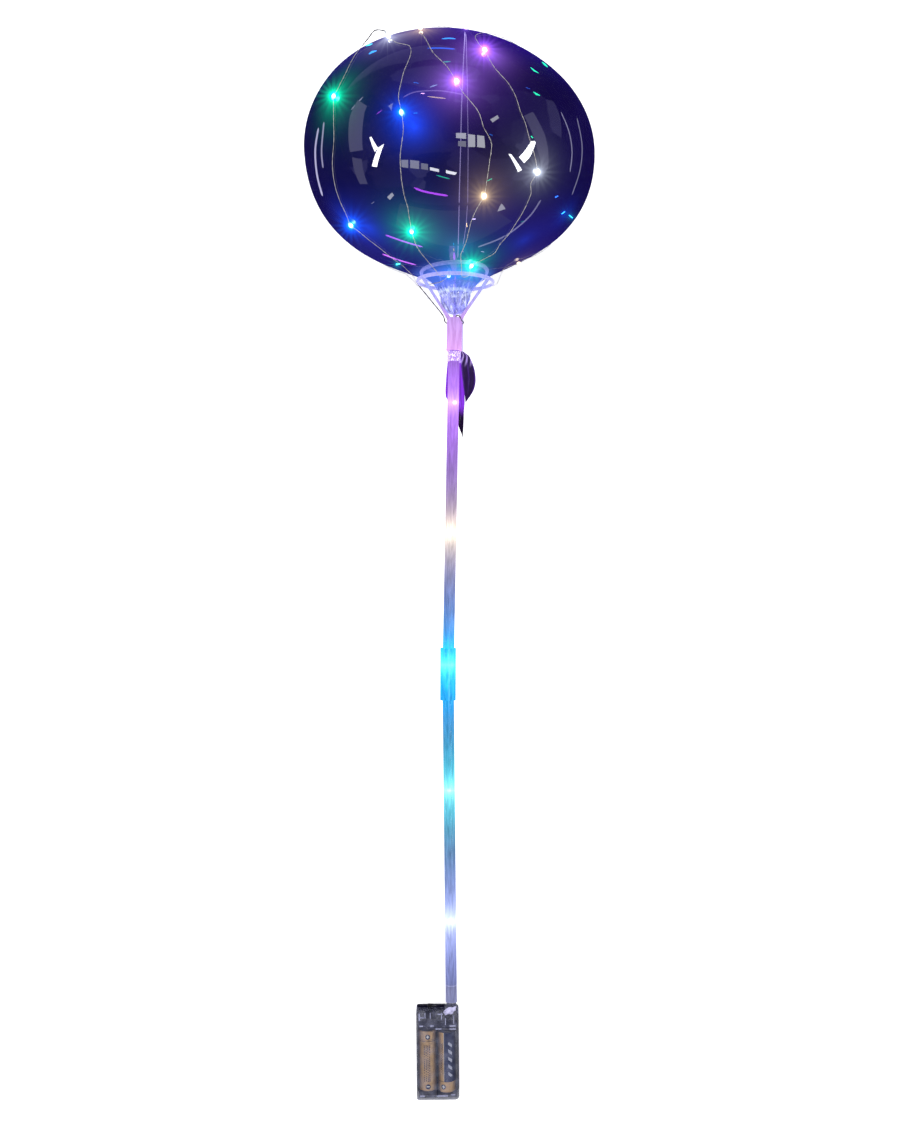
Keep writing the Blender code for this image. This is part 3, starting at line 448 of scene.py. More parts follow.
@dataclass
class MeshData:
    """Corners and faces of a mesh in the stick frame, with what its finish reads."""

    places: list = field(default_factory=list)
    faces: list = field(default_factory=list)
    slots: list = field(default_factory=list)
    tints: list = field(default_factory=list)

    def add(self, places: Iterable, faces: Iterable, slot: int = 0, tints: Optional[Iterable] = None) -> None:
        """Add more corners and faces.

        Args:
            places: The new corners.
            faces: The new faces, counted from the first new corner.
            slot: Their material slot.
            tints: A colour for each new corner, or None for black.
        """
        start = len(self.places)
        fresh = [Vector(place) for place in places]
        self.places += fresh
        rows = [tuple(start + corner for corner in face) for face in faces]
        self.faces += rows
        self.slots += [slot] * len(rows)
        self.tints += [tuple(tint) for tint in tints] if tints is not None else [UNLIT] * len(fresh)

    def tube(self, points: Sequence[Vector], radii: Sequence[float], sides: int, slot: int = 0,
             tints: Optional[Sequence] = None) -> None:
        """Add a closed tube along a line.

        Args:
            points: The line.
            radii: The tube's radius at each of its points.
            sides: Corners round the tube.
            slot: Its material slot.
            tints: A colour for each point of the line, or None.
        """
        line = np.array([tuple(point) for point in points])
        corners, colours = [], []
        for index, (first, second) in enumerate(carried_sides(line, TUBE_START)[1]):
            for side in range(sides):
                angle = math.tau * side / sides
                out = first * math.cos(angle) + second * math.sin(angle)
                corners.append(line[index] + radii[index] * out)
                colours.append(tints[index] if tints else UNLIT)
        faces = ring_faces(len(line), sides)
        faces.append(tuple(reversed(range(sides))))
        faces.append(tuple(range((len(line) - 1) * sides, len(line) * sides)))
        self.add(corners, faces, slot, colours)

    def lathe(self, profile: Sequence[Pair], sides: int, slot: int = 0,
              slots: Optional[Sequence[int]] = None) -> None:
        """Add a solid of revolution about the Y axis, closed where the profile meets the axis.

        Args:
            profile: Points of (radius, height).
            sides: Corners round it.
            slot: Its material slot.
            slots: A slot for each step of the profile, or None.
        """
        rows, corners = [], []
        for radius, height in profile:
            count = sides if radius > 0 else 1
            rows.append([len(corners) + side for side in range(count)])
            for side in range(count):
                angle = math.tau * side / sides
                corners.append((radius * math.sin(angle), height, radius * math.cos(angle)))
        start = len(self.faces)
        faces, owners = [], []
        for step, (near, far) in enumerate(zip(rows, rows[1:])):
            for side in range(sides):
                ahead = (side + 1) % sides
                face = [near[side % len(near)], near[ahead % len(near)]]
                face += [far[ahead % len(far)], far[side % len(far)]]
                face = [corner for index, corner in enumerate(face) if corner not in face[:index]]
                if len(face) > 2:
                    faces.append(face)
                    owners.append(slots[step] if slots else slot)
        self.add(corners, faces, slot)
        self.slots[start:] = owners

    def moved(self, matrix: Matrix) -> "MeshData":
        """Give the same mesh moved by a matrix."""
        return MeshData([matrix @ place for place in self.places], self.faces, self.slots, self.tints)

    def made(self, name: str, looks: Sequence[bpy.types.Material], sharp: float = 40.0,
             world: Matrix = LAY) -> bpy.types.Object:
        """Make the object.

        Args:
            name: Its name.
            looks: Its materials by slot.
            sharp: Angle over which an edge stays sharp.
            world: The move into the world.

        Returns:
            The new object.
        """
        mesh = bpy.data.meshes.new(name)
        mesh.from_pydata([tuple(world @ Vector(place)) for place in self.places], [], self.faces)
        mesh.polygons.foreach_set("material_index", self.slots)
        for look in looks:
            mesh.materials.append(look)
        if any(any(tint) for tint in self.tints):
            tints = mesh.color_attributes.new("light", "FLOAT_COLOR", "POINT")
            tints.data.foreach_set("color", [part for tint in self.tints for part in (*tint[:3], 1.0)])
        fresh = bmesh.new()
        fresh.from_mesh(mesh)
        bmesh.ops.recalc_face_normals(fresh, faces=fresh.faces)
        fresh.to_mesh(mesh)
        fresh.free()
        mesh.shade_smooth()
        mesh.set_sharp_from_angle(angle=math.radians(sharp))
        made = bpy.data.objects.new(name, mesh)
        bpy.context.scene.collection.objects.link(made)
        return made


Input = Union["Value", float, tuple, Vector]


class Value:
    """A socket that shader maths is written with."""

    def __init__(self, recipe: "Recipe", socket: bpy.types.NodeSocket) -> None:
        """Keep the recipe and the socket."""
        self.recipe, self.socket = recipe, socket

    def maths(self, operation: str, *others: Input) -> "Value":
        """Add a Math node on this value and the others."""
        sockets = dict(enumerate((self, *others)))
        return self.recipe.node("ShaderNodeMath", {"operation": operation}, sockets, "Value")

    def __add__(self, other: Input) -> "Value":
        """Add."""
        return self.maths("ADD", other)

    def __sub__(self, other: Input) -> "Value":
        """Subtract another value."""
        return self.maths("SUBTRACT", other)

    def __mul__(self, other: Input) -> "Value":
        """Multiply."""
        return self.maths("MULTIPLY", other)

    def __truediv__(self, other: Input) -> "Value":
        """Divide by another value."""
        return self.maths("DIVIDE", other)

    def above(self, edge: Input) -> "Value":
        """Give 1 where this value is over the edge."""
        return self.maths("GREATER_THAN", edge)

    def below(self, edge: Input) -> "Value":
        """Give 1 where this value is under the edge."""
        return self.maths("LESS_THAN", edge)

    def within(self, low: Input, high: Input) -> "Value":
        """Give 1 where this value is between two others."""
        return self.above(low) * self.below(high)

    def eased(self, low: float, high: float) -> "Value":
        """Go smoothly from 0 at low to 1 at high.

        Args:
            low: Where the result is 0.
            high: Where the result is 1.

        Returns:
            The eased value.
        """
        settings = {"interpolation_type": "SMOOTHSTEP"}
        sockets = {"Value": self, "From Min": low, "From Max": high}
        return self.recipe.node("ShaderNodeMapRange", settings, sockets, "Result")


class Recipe:
    """Builds the nodes of one material."""

    def __init__(self, name: str) -> None:
        """Start a material with one Principled shader.

        Args:
            name: The material's name.
        """
        self.material = bpy.data.materials.new(name)
        self.material.use_nodes = True
        self.tree = self.material.node_tree
        self.shader = self.tree.nodes["Principled BSDF"]

    def node(self, kind: str, settings: dict, sockets: dict, result: Union[str, int]) -> Value:
        """Add a node.

        Args:
            kind: Its type.
            settings: Its settings, with a ramp's stops under "stops".
            sockets: Values or links of its inputs.
            result: The output that is wanted.

        Returns:
            That output.
        """
        made = self.tree.nodes.new(kind)
        for name, value in settings.items():
            if name == "stops":
                self.set_stops(made.color_ramp, value)
            else:
                setattr(made, name, value)
        for name, value in sockets.items():
            self.feed(made.inputs[name], value)
        return Value(self, made.outputs[result])

    @staticmethod
    def set_stops(ramp: bpy.types.ColorRamp, stops: Sequence[tuple[float, Colour]]) -> None:
        """Give a ramp its stops.

        Args:
            ramp: The ramp.
            stops: Pairs of position and colour.
        """
        while len(ramp.elements) < len(stops):
            ramp.elements.new(1.0)
        for element, (position, colour) in zip(ramp.elements, stops):
            element.position = position
            element.color = (*colour, 1.0)

    def feed(self, socket: bpy.types.NodeSocket, value: Input) -> None:
        """Link a value to a socket or set it there.

        Args:
            socket: The input.
            value: The link, number or colour.
        """
        if isinstance(value, Value):
            self.tree.links.new(value.socket, socket)
        elif socket.type == "RGBA" and len(value) == 3:
            socket.default_value = (*value, 1.0)
        else:
            socket.default_value = value

    def surface(self, **sockets: Input) -> bpy.types.Material:
        """Feed the shader and give the material.

        Args:
            sockets: Inputs of the shader by name, with _ for each space.

        Returns:
            The material.
        """
        for name, value in sockets.items():
            self.feed(self.shader.inputs[name.replace("_", " ")], value)
        return self.material

    def here(self) -> Value:
        """Give the place on the object, in metres of the world at rest."""
        return self.node("ShaderNodeTexCoord", {}, {}, "Object")

    def part(self, vector: Value, axis: str) -> Value:
        """Take one part of a vector."""
        return self.node("ShaderNodeSeparateXYZ", {}, {0: vector}, axis)

    def tint(self) -> Value:
        """Give the colour that the mesh carries at each corner."""
        return self.node("ShaderNodeAttribute", {"attribute_name": "light"}, {}, "Color")

    def grain(self, scale: float, detail: float = 3.0, stretch: Optional[Place] = None) -> Value:
        """Noise over the object.

        Args:
            scale: How many lumps there are in a metre.
            detail: How much finer noise is added.
            stretch: A factor for each axis, or None.

        Returns:
            A value from 0 to 1.
        """
        where = self.here()
        if stretch:
            where = self.product(where, stretch)
        sockets = {"Vector": where, "Scale": scale, "Detail": detail}
        return self.node("ShaderNodeTexNoise", {}, sockets, 0)

    def mix(self, share: Input, first: Input, second: Input) -> Value:
        """Mix two colours, with that share of the second."""
        sockets = {0: share, 6: first, 7: second}
        return self.node("ShaderNodeMix", {"data_type": "RGBA"}, sockets, 2)

    def vector(self, operation: str, first: Input, second: Input, result: Union[str, int] = 0) -> Value:
        """Add a Vector Math node on two vectors or colours."""
        return self.node("ShaderNodeVectorMath", {"operation": operation}, {0: first, 1: second}, result)

    def sum(self, first: Input, second: Input) -> Value:
        """Add two colours."""
        return self.vector("ADD", first, second)

    def product(self, first: Input, second: Input) -> Value:
        """Multiply two colours or vectors."""
        return self.vector("MULTIPLY", first, second)

    def scaled(self, colour: Input, factor: Input) -> Value:
        """Scale a colour by a value."""
        return self.node("ShaderNodeVectorMath", {"operation": "SCALE"}, {0: colour, "Scale": factor}, 0)

    def bump(self, height: Value, depth: float, strength: float = 1.0) -> Value:
        """Make a relief from a height of 0 to 1, its full depth and how strongly it shows."""
        return self.node("ShaderNodeBump", {}, {"Height": height, "Distance": depth, "Strength": strength}, 0)

    def along(self) -> Value:
        """Give how far along the stick frame a place is.

        Returns:
            The distance from the foot of the battery box.
        """
        here = self.here()
        level = (self.part(here, "Y") + MIDDLE) * math.cos(TILT)
        return level + (self.part(here, "Z") - LIFT) * math.sin(TILT)

    def forward(self) -> Value:
        """Give how far in front of the stick frame's middle a place is.

        Returns:
            The distance.
        """
        here = self.here()
        level = (self.part(here, "Z") - LIFT) * math.cos(TILT)
        return level - (self.part(here, "Y") + MIDDLE) * math.sin(TILT)


@dataclass(frozen=True)
class FilmFinish:
    """Glossy clear film that looks dark indigo; its dark base colour is painted shade, for the dark room seen
    in and through the clear film.
    """

    base: Colour = (0.004, 0.003, 0.030)
    dark: Colour = (0.001, 0.001, 0.012)
    alpha: float = 0.97
    roughness: float = 0.012
    waves: float = 0.25
    creases: float = 0.0
    ior: float = 2.0

    def material(self, name: str) -> bpy.types.Material:
        """Make the material.

        Args:
            name: Its name.

        Returns:
            The material.
        """
        recipe = Recipe(name)
        haze = recipe.grain(14.0, 2.0).eased(0.35, 0.7)
        relief = recipe.grain(18.0, 1.0) * self.waves
        if self.creases:
            relief = relief + recipe.grain(260.0, 3.0, (1.0, 0.35, 1.0)) * self.creases
        return recipe.surface(
            Base_Color=recipe.mix(haze, self.dark, self.base), Roughness=haze * 0.02 + self.roughness,
            Alpha=self.alpha, IOR=self.ior, Emission_Color=recipe.tint(), Emission_Strength=1.0,
            Normal=recipe.bump(relief, 0.0010, 0.4),
        )


@dataclass(frozen=True)
class Glow:
    """Light that spreads along the plastic from one place: its height, colour and reach."""

    height: float
    colour: Colour
    reach: float


STICK_GLOWS = (
    Glow(0.0760, (0.10, 0.10, 0.14), 0.022), Glow(0.1440, (0.44, 0.50, 1.08), 0.033),
    Glow(0.1440, (0.28, 0.32, 0.10), 0.009),
    Glow(0.2518, (0.00, 0.84, 0.85), 0.026), Glow(0.2518, (0.15, 0.12, 0.10), 0.009),
    Glow(0.3550, (-0.06, 0.56, 1.50), 0.034), Glow(0.3550, (0.10, 0.30, 0.08), 0.012),
    Glow(0.4639, (1.00, 0.84, 0.34), 0.017), Glow(0.4639, (0.50, 0.50, 0.45), 0.006),
    Glow(0.5708, (0.52, 0.13, 1.10), 0.042), Glow(0.5708, (0.34, 0.36, 0.20), 0.006),
    Glow(0.1440, (0.30, 0.34, 0.30), 0.006), Glow(0.2518, (0.30, 0.30, 0.20), 0.006),
    Glow(0.3550, (1.70, 0.22, 0.20), 0.0045),
)
CUP_GLOWS = (Glow(0.5900, (0.95, 0.34, 0.60), 0.042), Glow(0.6640, (0.00, 0.10, 0.16), 0.010))


@dataclass(frozen=True)
class ClearPlasticFinish:
    """Clear moulded plastic that carries the light of the string along the stick."""

    base: Colour = (0.012, 0.014, 0.030)
    alpha: float = 0.80
    roughness: float = 0.14
    low_haze: Colour = (0.040, 0.050, 0.150)
    high_haze: Colour = (0.120, 0.085, 0.200)
    haze_heights: Pair = (0.34, 0.42)
    glows: tuple[Glow, ...] = STICK_GLOWS
    foot_light: Optional[Colour] = (0.205, 0.215, 0.380)
    contrast: float = 1.3
    dense: float = 0.3470
    dense_reach: Pair = (0.040, 0.022)
    dense_light: Colour = (0.11, 1.15, 1.15)
    dense_alpha: float = 0.98
    foot_ends: Pair = (0.0935, 0.0900)
    foot_line: Pair = (0.0909, 0.0918)
    foot_boost: float = 1.6

    def material(self, name: str) -> bpy.types.Material:
        """Make the material.

        Args:
            name: Its name.

        Returns:
            The material.
        """
        recipe = Recipe(name)
        along = recipe.along()
        light = recipe.mix(along.eased(*self.haze_heights), self.low_haze, self.high_haze)
        for glow in self.glows:
            fade = ((along - glow.height).maths("ABSOLUTE") * (-1.0 / glow.reach)).maths("EXPONENT")
            light = recipe.sum(light, recipe.scaled(glow.colour, fade))
        if self.foot_light:
            light = recipe.mix(along.eased(*self.foot_ends), light, self.foot_light)
            bright = tuple(c * self.foot_boost for c in self.foot_light)
            light = recipe.mix(along.within(*self.foot_line), light, bright)
        solid = self.alpha
        if self.dense:
            near = (along - self.dense).maths("ABSOLUTE").eased(*self.dense_reach)
            light = recipe.mix(near, light, recipe.product(light, self.dense_light))
            solid = near * (self.dense_alpha - self.alpha) + self.alpha
        streaks = recipe.grain(700.0, 2.0, (1.0, 0.010, 1.0))
        light = recipe.scaled(light, streaks * self.contrast + (1.0 - self.contrast * 0.5))
        scratches = recipe.grain(2600.0, 3.0, (1.0, 0.02, 1.0))
        return recipe.surface(
            Base_Color=recipe.mix(streaks.eased(0.3, 0.7), self.base, tuple(c * 2.0 for c in self.base)),
            Alpha=solid, IOR=1.49, Roughness=streaks * 0.10 + self.roughness, Emission_Color=light,
            Emission_Strength=1.0, Normal=recipe.bump(scratches, 0.0002, 0.2),
        )


@dataclass(frozen=True)
class SmokyPlasticFinish:
    """Clear smoky plastic of the battery box, with flow marks and fine scratches.

    It is denser where it is seen on edge. Its top wall is thin to look through, but its back half left
    of the stick is painted near black as a painted shadow.
    """

    base: Colour = (0.10, 0.105, 0.165)
    pale: Colour = (0.26, 0.27, 0.39)
    alpha: float = 0.12
    roughness: float = 0.12
    side_alpha: float = 0.80
    top_alpha: float = 0.12
    top_wall: Pair = (0.0650, 0.0690)
    black: Colour = (0.004, 0.004, 0.007)
    black_alpha: float = 0.80
    black_depths: Pair = (0.0020, -0.0010)
    black_end: Pair = (-0.0035, -0.0050)

    def material(self, name: str) -> bpy.types.Material:
        """Make the material.

        Args:
            name: Its name.

        Returns:
            The material.
        """
        recipe = Recipe(name)
        flow = recipe.grain(160.0, 4.0).eased(0.35, 0.68)
        scratches = recipe.grain(1800.0, 4.0, (1.0, 0.15, 1.0))
        facing = recipe.node("ShaderNodeTexCoord", {}, {}, "Normal")
        level = recipe.vector("DOT_PRODUCT", facing, FRONT, "Value").maths("ABSOLUTE")
        thin = level.eased(0.50, 0.95) * (self.alpha - self.side_alpha) + self.side_alpha
        top = recipe.vector("DOT_PRODUCT", facing, UPWARD, "Value").eased(0.6, 0.95)
        top = top * recipe.along().eased(*self.top_wall)
        left = recipe.part(recipe.here(), "X").eased(*self.black_end)
        # Painted shadow: the back half of the top wall, left of the stick, is painted near black and made
        # denser.
        shadow = top * recipe.forward().eased(*self.black_depths) * left
        thin = thin - top * (self.side_alpha - self.top_alpha) + shadow * self.black_alpha
        colour = recipe.mix(shadow, recipe.mix(flow, self.base, self.pale), self.black)
        return recipe.surface(
            Base_Color=colour, Alpha=flow * 0.06 + thin, IOR=1.25,
            Roughness=scratches * 0.14 + self.roughness, Normal=recipe.bump(scratches, 0.0003, 0.3),
        )


@dataclass(frozen=True)
class MetalFinish:
    """Bare metal with a fine brushed grain and darker smudges."""

    base: Colour = (0.62, 0.61, 0.58)
    smudge: Colour = (0.30, 0.29, 0.27)
    roughness: float = 0.28
    scale: float = 900.0
    metallic: float = 1.0
    tinted: bool = False

    def material(self, name: str) -> bpy.types.Material:
        """Make the material.

        Args:
            name: Its name.

        Returns:
            The material.
        """
        recipe = Recipe(name)
        brushed = recipe.grain(self.scale, 3.0, (1.0, 0.1, 1.0))
        dull = recipe.grain(self.scale / 6, 3.0).eased(0.45, 0.75)
        colour = recipe.mix(dull, self.base, self.smudge)
        # The mesh's tint multiplies the colour; on the light string it carries painted shade.
        if self.tinted:
            colour = recipe.product(colour, recipe.tint())
        return recipe.surface(
            Base_Color=colour, Metallic=self.metallic, Roughness=brushed * 0.2 + self.roughness,
            Normal=recipe.bump(brushed, 0.0001, 0.3),
        )


@dataclass(frozen=True)
class BlackPlasticFinish:
    """Black moulded plastic of the switch, worn grey along fine scuffs."""

    base: Colour = (0.012, 0.012, 0.014)
    scuffed: Colour = (0.055, 0.055, 0.060)

    def material(self, name: str) -> bpy.types.Material:
        """Make the material.

        Args:
            name: Its name.

        Returns:
            The material.
        """
        recipe = Recipe(name)
        scuffs = recipe.grain(1500.0, 4.0)
        return recipe.surface(
            Base_Color=recipe.mix(scuffs.eased(0.5, 0.8), self.base, self.scuffed),
            Roughness=scuffs * 0.3 + 0.3, Normal=recipe.bump(scuffs, 0.0001, 0.5),
        )


@dataclass(frozen=True)
class GlueFinish:
    """Milky glue with a soft sheen."""

    base: Colour = (0.50, 0.48, 0.68)
    shade: Colour = (0.30, 0.29, 0.46)
    glow: Colour = (0.10, 0.10, 0.16)

    def material(self, name: str) -> bpy.types.Material:
        """Make the material.

        Args:
            name: Its name.

        Returns:
            The material.
        """
        recipe = Recipe(name)
        milk = recipe.grain(700.0, 3.0)
        return recipe.surface(
            Base_Color=recipe.mix(milk.eased(0.4, 0.7), self.base, self.shade), Roughness=milk * 0.3 + 0.25,
            Emission_Color=self.glow, Emission_Strength=1.0, Normal=recipe.bump(milk, 0.0003, 0.5),
        )


@dataclass(frozen=True)
class ResinFinish:
    """Clear resin drop round a light, lit from inside."""

    base: Colour = (0.75, 0.75, 0.80)
    strength: float = 16.0

    def material(self, name: str) -> bpy.types.Material:
        """Make the material.

        Args:
            name: Its name.

        Returns:
            The material.
        """
        recipe = Recipe(name)
        ripple = recipe.grain(1200.0, 2.0)
        return recipe.surface(
            Base_Color=recipe.mix(ripple, self.base, (0.55, 0.55, 0.60)), Roughness=ripple * 0.1 + 0.08,
            Emission_Color=recipe.tint(), Emission_Strength=self.strength,
        )


@dataclass(frozen=True)
class SleeveFinish:
    """Printed sleeve of a cell, with generic bands, badges and rows of strokes. Sizes are in millimetres."""

    ground: Colour
    second: Colour
    ink: Colour
    has_panel: bool
    panel_edge: float = 2.6
    border: Pair = (2.3, 2.6)
    border_colour: Colour = (0.75, 0.72, 0.66)
    cap_edge: float = 40.5
    bar_slant: float = 0.8
    bar_step: float = 6.2
    bar_share: float = 0.42
    bar_columns: Pair = (-4.6, -1.2)
    bar_rows: Pair = (8.0, 36.0)
    bar_colour: Colour = (0.55, 0.58, 0.70)
    line_step: float = 1.45
    line_share: float = 0.55
    dash_step: float = 1.90
    badge_radius: float = 2.1
    badge_colour: Colour = (0.02, 0.03, 0.07)
    sign_arm: float = 1.3
    sign_half: float = 0.38
    sign_colour: Colour = (0.80, 0.80, 0.78)
    panel_badges: tuple = ((3.0, 44.5, True),)
    plain_badges: tuple = ((0.4, 44.6, True), (0.4, 4.0, False))
    panel_strokes: tuple[Pair, Pair] = ((3.2, 6.4), (9.0, 34.0))
    plain_strokes: tuple[Pair, Pair] = ((-2.9, 2.9), (8.0, 38.0))
    panel_ring: Pair = (40.1, 40.5)
    plain_rings: tuple[Pair, Pair] = ((40.7, 41.1), (42.0, 42.2))

    def material(self, name: str) -> bpy.types.Material:
        """Make the material.

        Args:
            name: Its name.

        Returns:
            The material, which reads the cell's own frame from the mesh: how far round it a place
            is in red, and how far along it in green.
        """
        recipe = Recipe(name)
        label = recipe.node("ShaderNodeAttribute", {"attribute_name": "label"}, {}, "Vector")
        across = recipe.part(label, "X") * 1000.0
        along = recipe.part(label, "Y") * 1000.0
        worn = recipe.grain(500.0, 3.0).eased(0.3, 0.8)
        colour = recipe.mix(worn, self.ground, tuple(c * 0.78 for c in self.ground))
        if self.has_panel:
            colour = recipe.mix(across.above(self.panel_edge), colour, self.second)
            colour = recipe.mix(across.within(*self.border), colour, self.border_colour)
            colour = recipe.mix(along.above(self.cap_edge), colour, self.second)
            bars = ((along + across * self.bar_slant) / self.bar_step).maths("FRACT").below(self.bar_share)
            bars = bars * across.within(*self.bar_columns) * along.within(*self.bar_rows)
            colour = recipe.mix(bars, colour, self.bar_colour)
            strokes = self.strokes(across, along, *self.panel_strokes)
            badges = self.panel_badges
            ring = along.within(*self.panel_ring)
        else:
            strokes = self.strokes(across, along, *self.plain_strokes)
            badges = self.plain_badges
            ring = along.within(*self.plain_rings[0]) + along.within(*self.plain_rings[1])
        colour = recipe.mix(ring, colour, self.ink)
        colour = recipe.mix(strokes, colour, self.ink)
        for aside, above, is_plus in badges:
            colour = self.badge(recipe, colour, (across - aside, along - above), is_plus)
        scuffs = recipe.grain(900.0, 4.0)
        return recipe.surface(
            Base_Color=colour, Metallic=0.25, Roughness=scuffs * 0.2 + 0.24,
            Normal=recipe.bump(scuffs, 0.0001, 0.4), Coat_Weight=0.3,
        )

    def strokes(self, across: Value, along: Value, columns: Pair, rows: Pair) -> Value:
        """Add rows of short strokes of uneven length that aren't letters.

        Args:
            across: Distance round the cell.
            along: Distance along it.
            columns: Range of the rows round the cell.
            rows: Range of the rows along it.

        Returns:
            A mask.
        """
        line = across / self.line_step
        dash = along / self.dash_step + line.maths("FLOOR") * 0.37
        length = dash.maths("FLOOR") * 12.9898 + line.maths("FLOOR") * 78.233
        length = length.maths("SINE").maths("ABSOLUTE")
        mask = line.maths("FRACT").below(self.line_share) * dash.maths("FRACT").below(length * 0.5 + 0.35)
        return mask * across.within(*columns) * along.within(*rows)

    def badge(self, recipe: Recipe, colour: Value, place: tuple[Value, Value], is_plus: bool) -> Value:
        """Add a round badge with a plus or a minus.

        Args:
            recipe: The material's recipe.
            colour: The colour so far.
            place: Distances to the right of the badge's middle and above it.
            is_plus: Whether it shows a plus.

        Returns:
            The colour with the badge.
        """
        aside, above = place
        half, arm = (-self.sign_half, self.sign_half), (-self.sign_arm, self.sign_arm)
        distance = (aside * aside + above * above).maths("SQRT")
        colour = recipe.mix(distance.below(self.badge_radius), colour, self.badge_colour)
        colour = recipe.mix(above.within(*half) * aside.within(*arm), colour, self.sign_colour)
        if is_plus:
            colour = recipe.mix(aside.within(*half) * above.within(*arm), colour, self.sign_colour)
        return colour


LEFT_CELL = -0.0085
RIGHT_CELL = 0.0073
GOLD = (0.62, 0.39, 0.17)
NAVY = (0.020, 0.035, 0.100)


@dataclass
class LightString:
    """The string of lights: two fine twisted wires and the resin drops on them."""

    wire_lift: float = 0.0009
    light_lift: float = 0.0020
    wire_radius: float = 0.00045
    drop_radius: float = 0.0015
    floor_gap: float = 0.00035
    skin_step: float = 4.0
    fine_step: float = 0.0016
    strand_radius: float = 0.00012
    strand_offset: float = 0.00016
    twist: float = 0.0110
    strand_sides: int = 5
    drop_sides: int = 14
    drop_profile: tuple[tuple[float, float, float], ...] = (
        (-1.0, 0.25, 0.02), (-0.86, 0.46, 0.08), (-0.66, 0.72, 0.25), (-0.42, 0.92, 0.65), (-0.15, 1.0, 1.0),
        (0.15, 1.0, 1.0), (0.42, 0.93, 0.65), (0.66, 0.74, 0.25), (0.86, 0.48, 0.08), (1.0, 0.25, 0.02),
    )
    drop_half: float = 0.0026
    drop_core: Colour = (0.10, 0.16, 0.16)
    strand_start: Place = (1.0, 0.2, 0.1)
    dark_swell: float = 2.0
    dark_share: float = 0.90
    film_foot: Pair = (0.6680, 0.6640)
    loop_edges: tuple[Pair, ...] = ((-0.0465, -0.0500), (0.837, 0.843), (0.02, 0.03))

    def __post_init__(self) -> None:
        """Work out the route."""
        self.stops = [(self.raised(place, bool(light)), light) for place, light in self.route()]
        self.line, self.marks = self.fine_line()

    def raised(self, place: Vector, is_light: bool) -> Vector:
        """Raise a place that would touch the floor.

        Args:
            place: A place in the stick frame.
            is_light: Whether a light sits there.

        Returns:
            The raised place.
        """
        radius = self.drop_radius if is_light else self.wire_radius
        short = radius + self.floor_gap - (LAY @ place).z
        return place + Vector((0.0, 0.0, max(short, 0.0) / math.cos(TILT)))

    def over_skin(self, skin: Skin, stops: Sequence) -> list:
        """Follow a stretch over the balloon.

        Args:
            skin: Where the film is.
            stops: Degrees down and degrees round of each stop.

        Returns:
            Places, each with its light or None.
        """
        stops = [Vector((*stop, LOOP_LIFTS.get(stop, 0.0))) for stop in stops]
        places = []
        for index, stop in enumerate(stops):
            light = SKIN_LIGHTS.get((round(stop.x), round(stop.y)))
            lift = stop.z + (self.light_lift if light else self.wire_lift)
            places.append((skin.place(stop.x, stop.y, lift), light))
            if index == len(stops) - 1:
                break
            four = four_stops(stops, index)
            turn = abs(four[2].y - stop.y) * math.sin(math.radians(stop.x))
            count = max(1, round(math.hypot(four[2].x - stop.x, turn) / self.skin_step))
            for step in range(1, count):
                middle = smooth_step(*four, step / count)
                places.append((skin.place(middle.x, middle.y, max(middle.z, 0.0) + self.wire_lift), None))
        return places

    def route(self) -> list:
        """List every place of the string from the battery box to its end.

        Returns:
            The places, each with its light or None.
        """
        skin = Skin()

        def hook(stops: Sequence) -> list:
            """Follow a stretch round the cup."""
            return [(STICK.about(*stop), HOOK_LIGHTS.get(stop)) for stop in stops]

        inside = [(STICK.inside(*stop), STICK_LIGHTS.get(stop[0])) for stop in IN_THE_STICK]
        return (
            inside + hook(ROUND_THE_SOCKET) + self.over_skin(skin, LEFT_LOOP) + hook(LEFT_HOOK)
            + self.over_skin(skin, BACK_LOOP) + hook(BACK_HOOK) + self.over_skin(skin, OVER_THE_CROWN)
            + hook(FRONT_HOOK) + self.over_skin(skin, RIGHT_LOOP) + hook(LAST_HOOK)
        )

    def fine_line(self) -> tuple[list[Vector], list[tuple[int, Light]]]:
        """Make a fine line through the stops.

        Returns:
            The line, and the index of each light on it.
        """
        places = [place for place, _ in self.stops]
        line, marks = [], []
        for index, (place, light) in enumerate(self.stops):
            if light:
                marks.append((len(line), light))
            line.append(place)
            if index == len(places) - 1:
                break
            four = four_stops(places, index)
            count = max(1, round((four[2] - place).length / self.fine_step))
            for step in range(1, count):
                line.append(self.raised(smooth_step(*four, step / count), False))
        return line, marks

    def lights(self) -> list[tuple[Vector, Vector]]:
        """Give each light's place in the stick frame and its colour times its power."""
        return [(self.line[index], light.colour) for index, light in self.marks]

    def build(self) -> bpy.types.Object:
        """Make the string.

        Returns:
            The new piece.
        """
        data = MeshData()
        line = np.array([tuple(place) for place in self.line])
        ways, sides = carried_sides(line, self.strand_start)
        run = np.concatenate(([0.0], np.cumsum(np.linalg.norm(np.diff(line, axis=0), axis=1))))
        for start in (0.0, math.pi):
            strand = []
            for middle, (first, second), length in zip(line, sides, run):
                angle = start + math.tau * length / self.twist
                offset = first * math.cos(angle) + second * math.sin(angle)
                strand.append(Vector(middle + self.strand_offset * offset))
            # Painted shade: each point's tint darkens the wire where it leaves the film, and the wire is
            # drawn thicker there.
            shades = [self.shade(place) for place in strand]
            radii = [self.strand_radius * (1.0 + self.dark_swell * (1.0 - shade)) for shade in shades]
            data.tube(strand, radii, self.strand_sides, 0, [(shade,) * 3 for shade in shades])
        for index, light in self.marks:
            self.drop(data, Vector(line[index]), Vector(ways[index]), light)
        wire = MetalFinish((0.56, 0.53, 0.48), (0.36, 0.32, 0.27), 0.40, 700.0, 0.25, True)
        looks = [wire.material("fine_wire"), ResinFinish().material("light_resin")]
        made = data.made("light_string_lit", looks)
        made.visible_diffuse = False
        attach(made, Body.MAIN.value)
        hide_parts("light_string")
        return made

    def shade(self, place: Vector) -> float:
        """Find the painted shade of the wire at a place: painted darker where it leaves the film."""
        loop = math.prod(ease(*edges, part) for edges, part in zip(self.loop_edges, place))
        return 1.0 - self.dark_share * min(ease(*self.film_foot, place.y) + loop, 1.0)

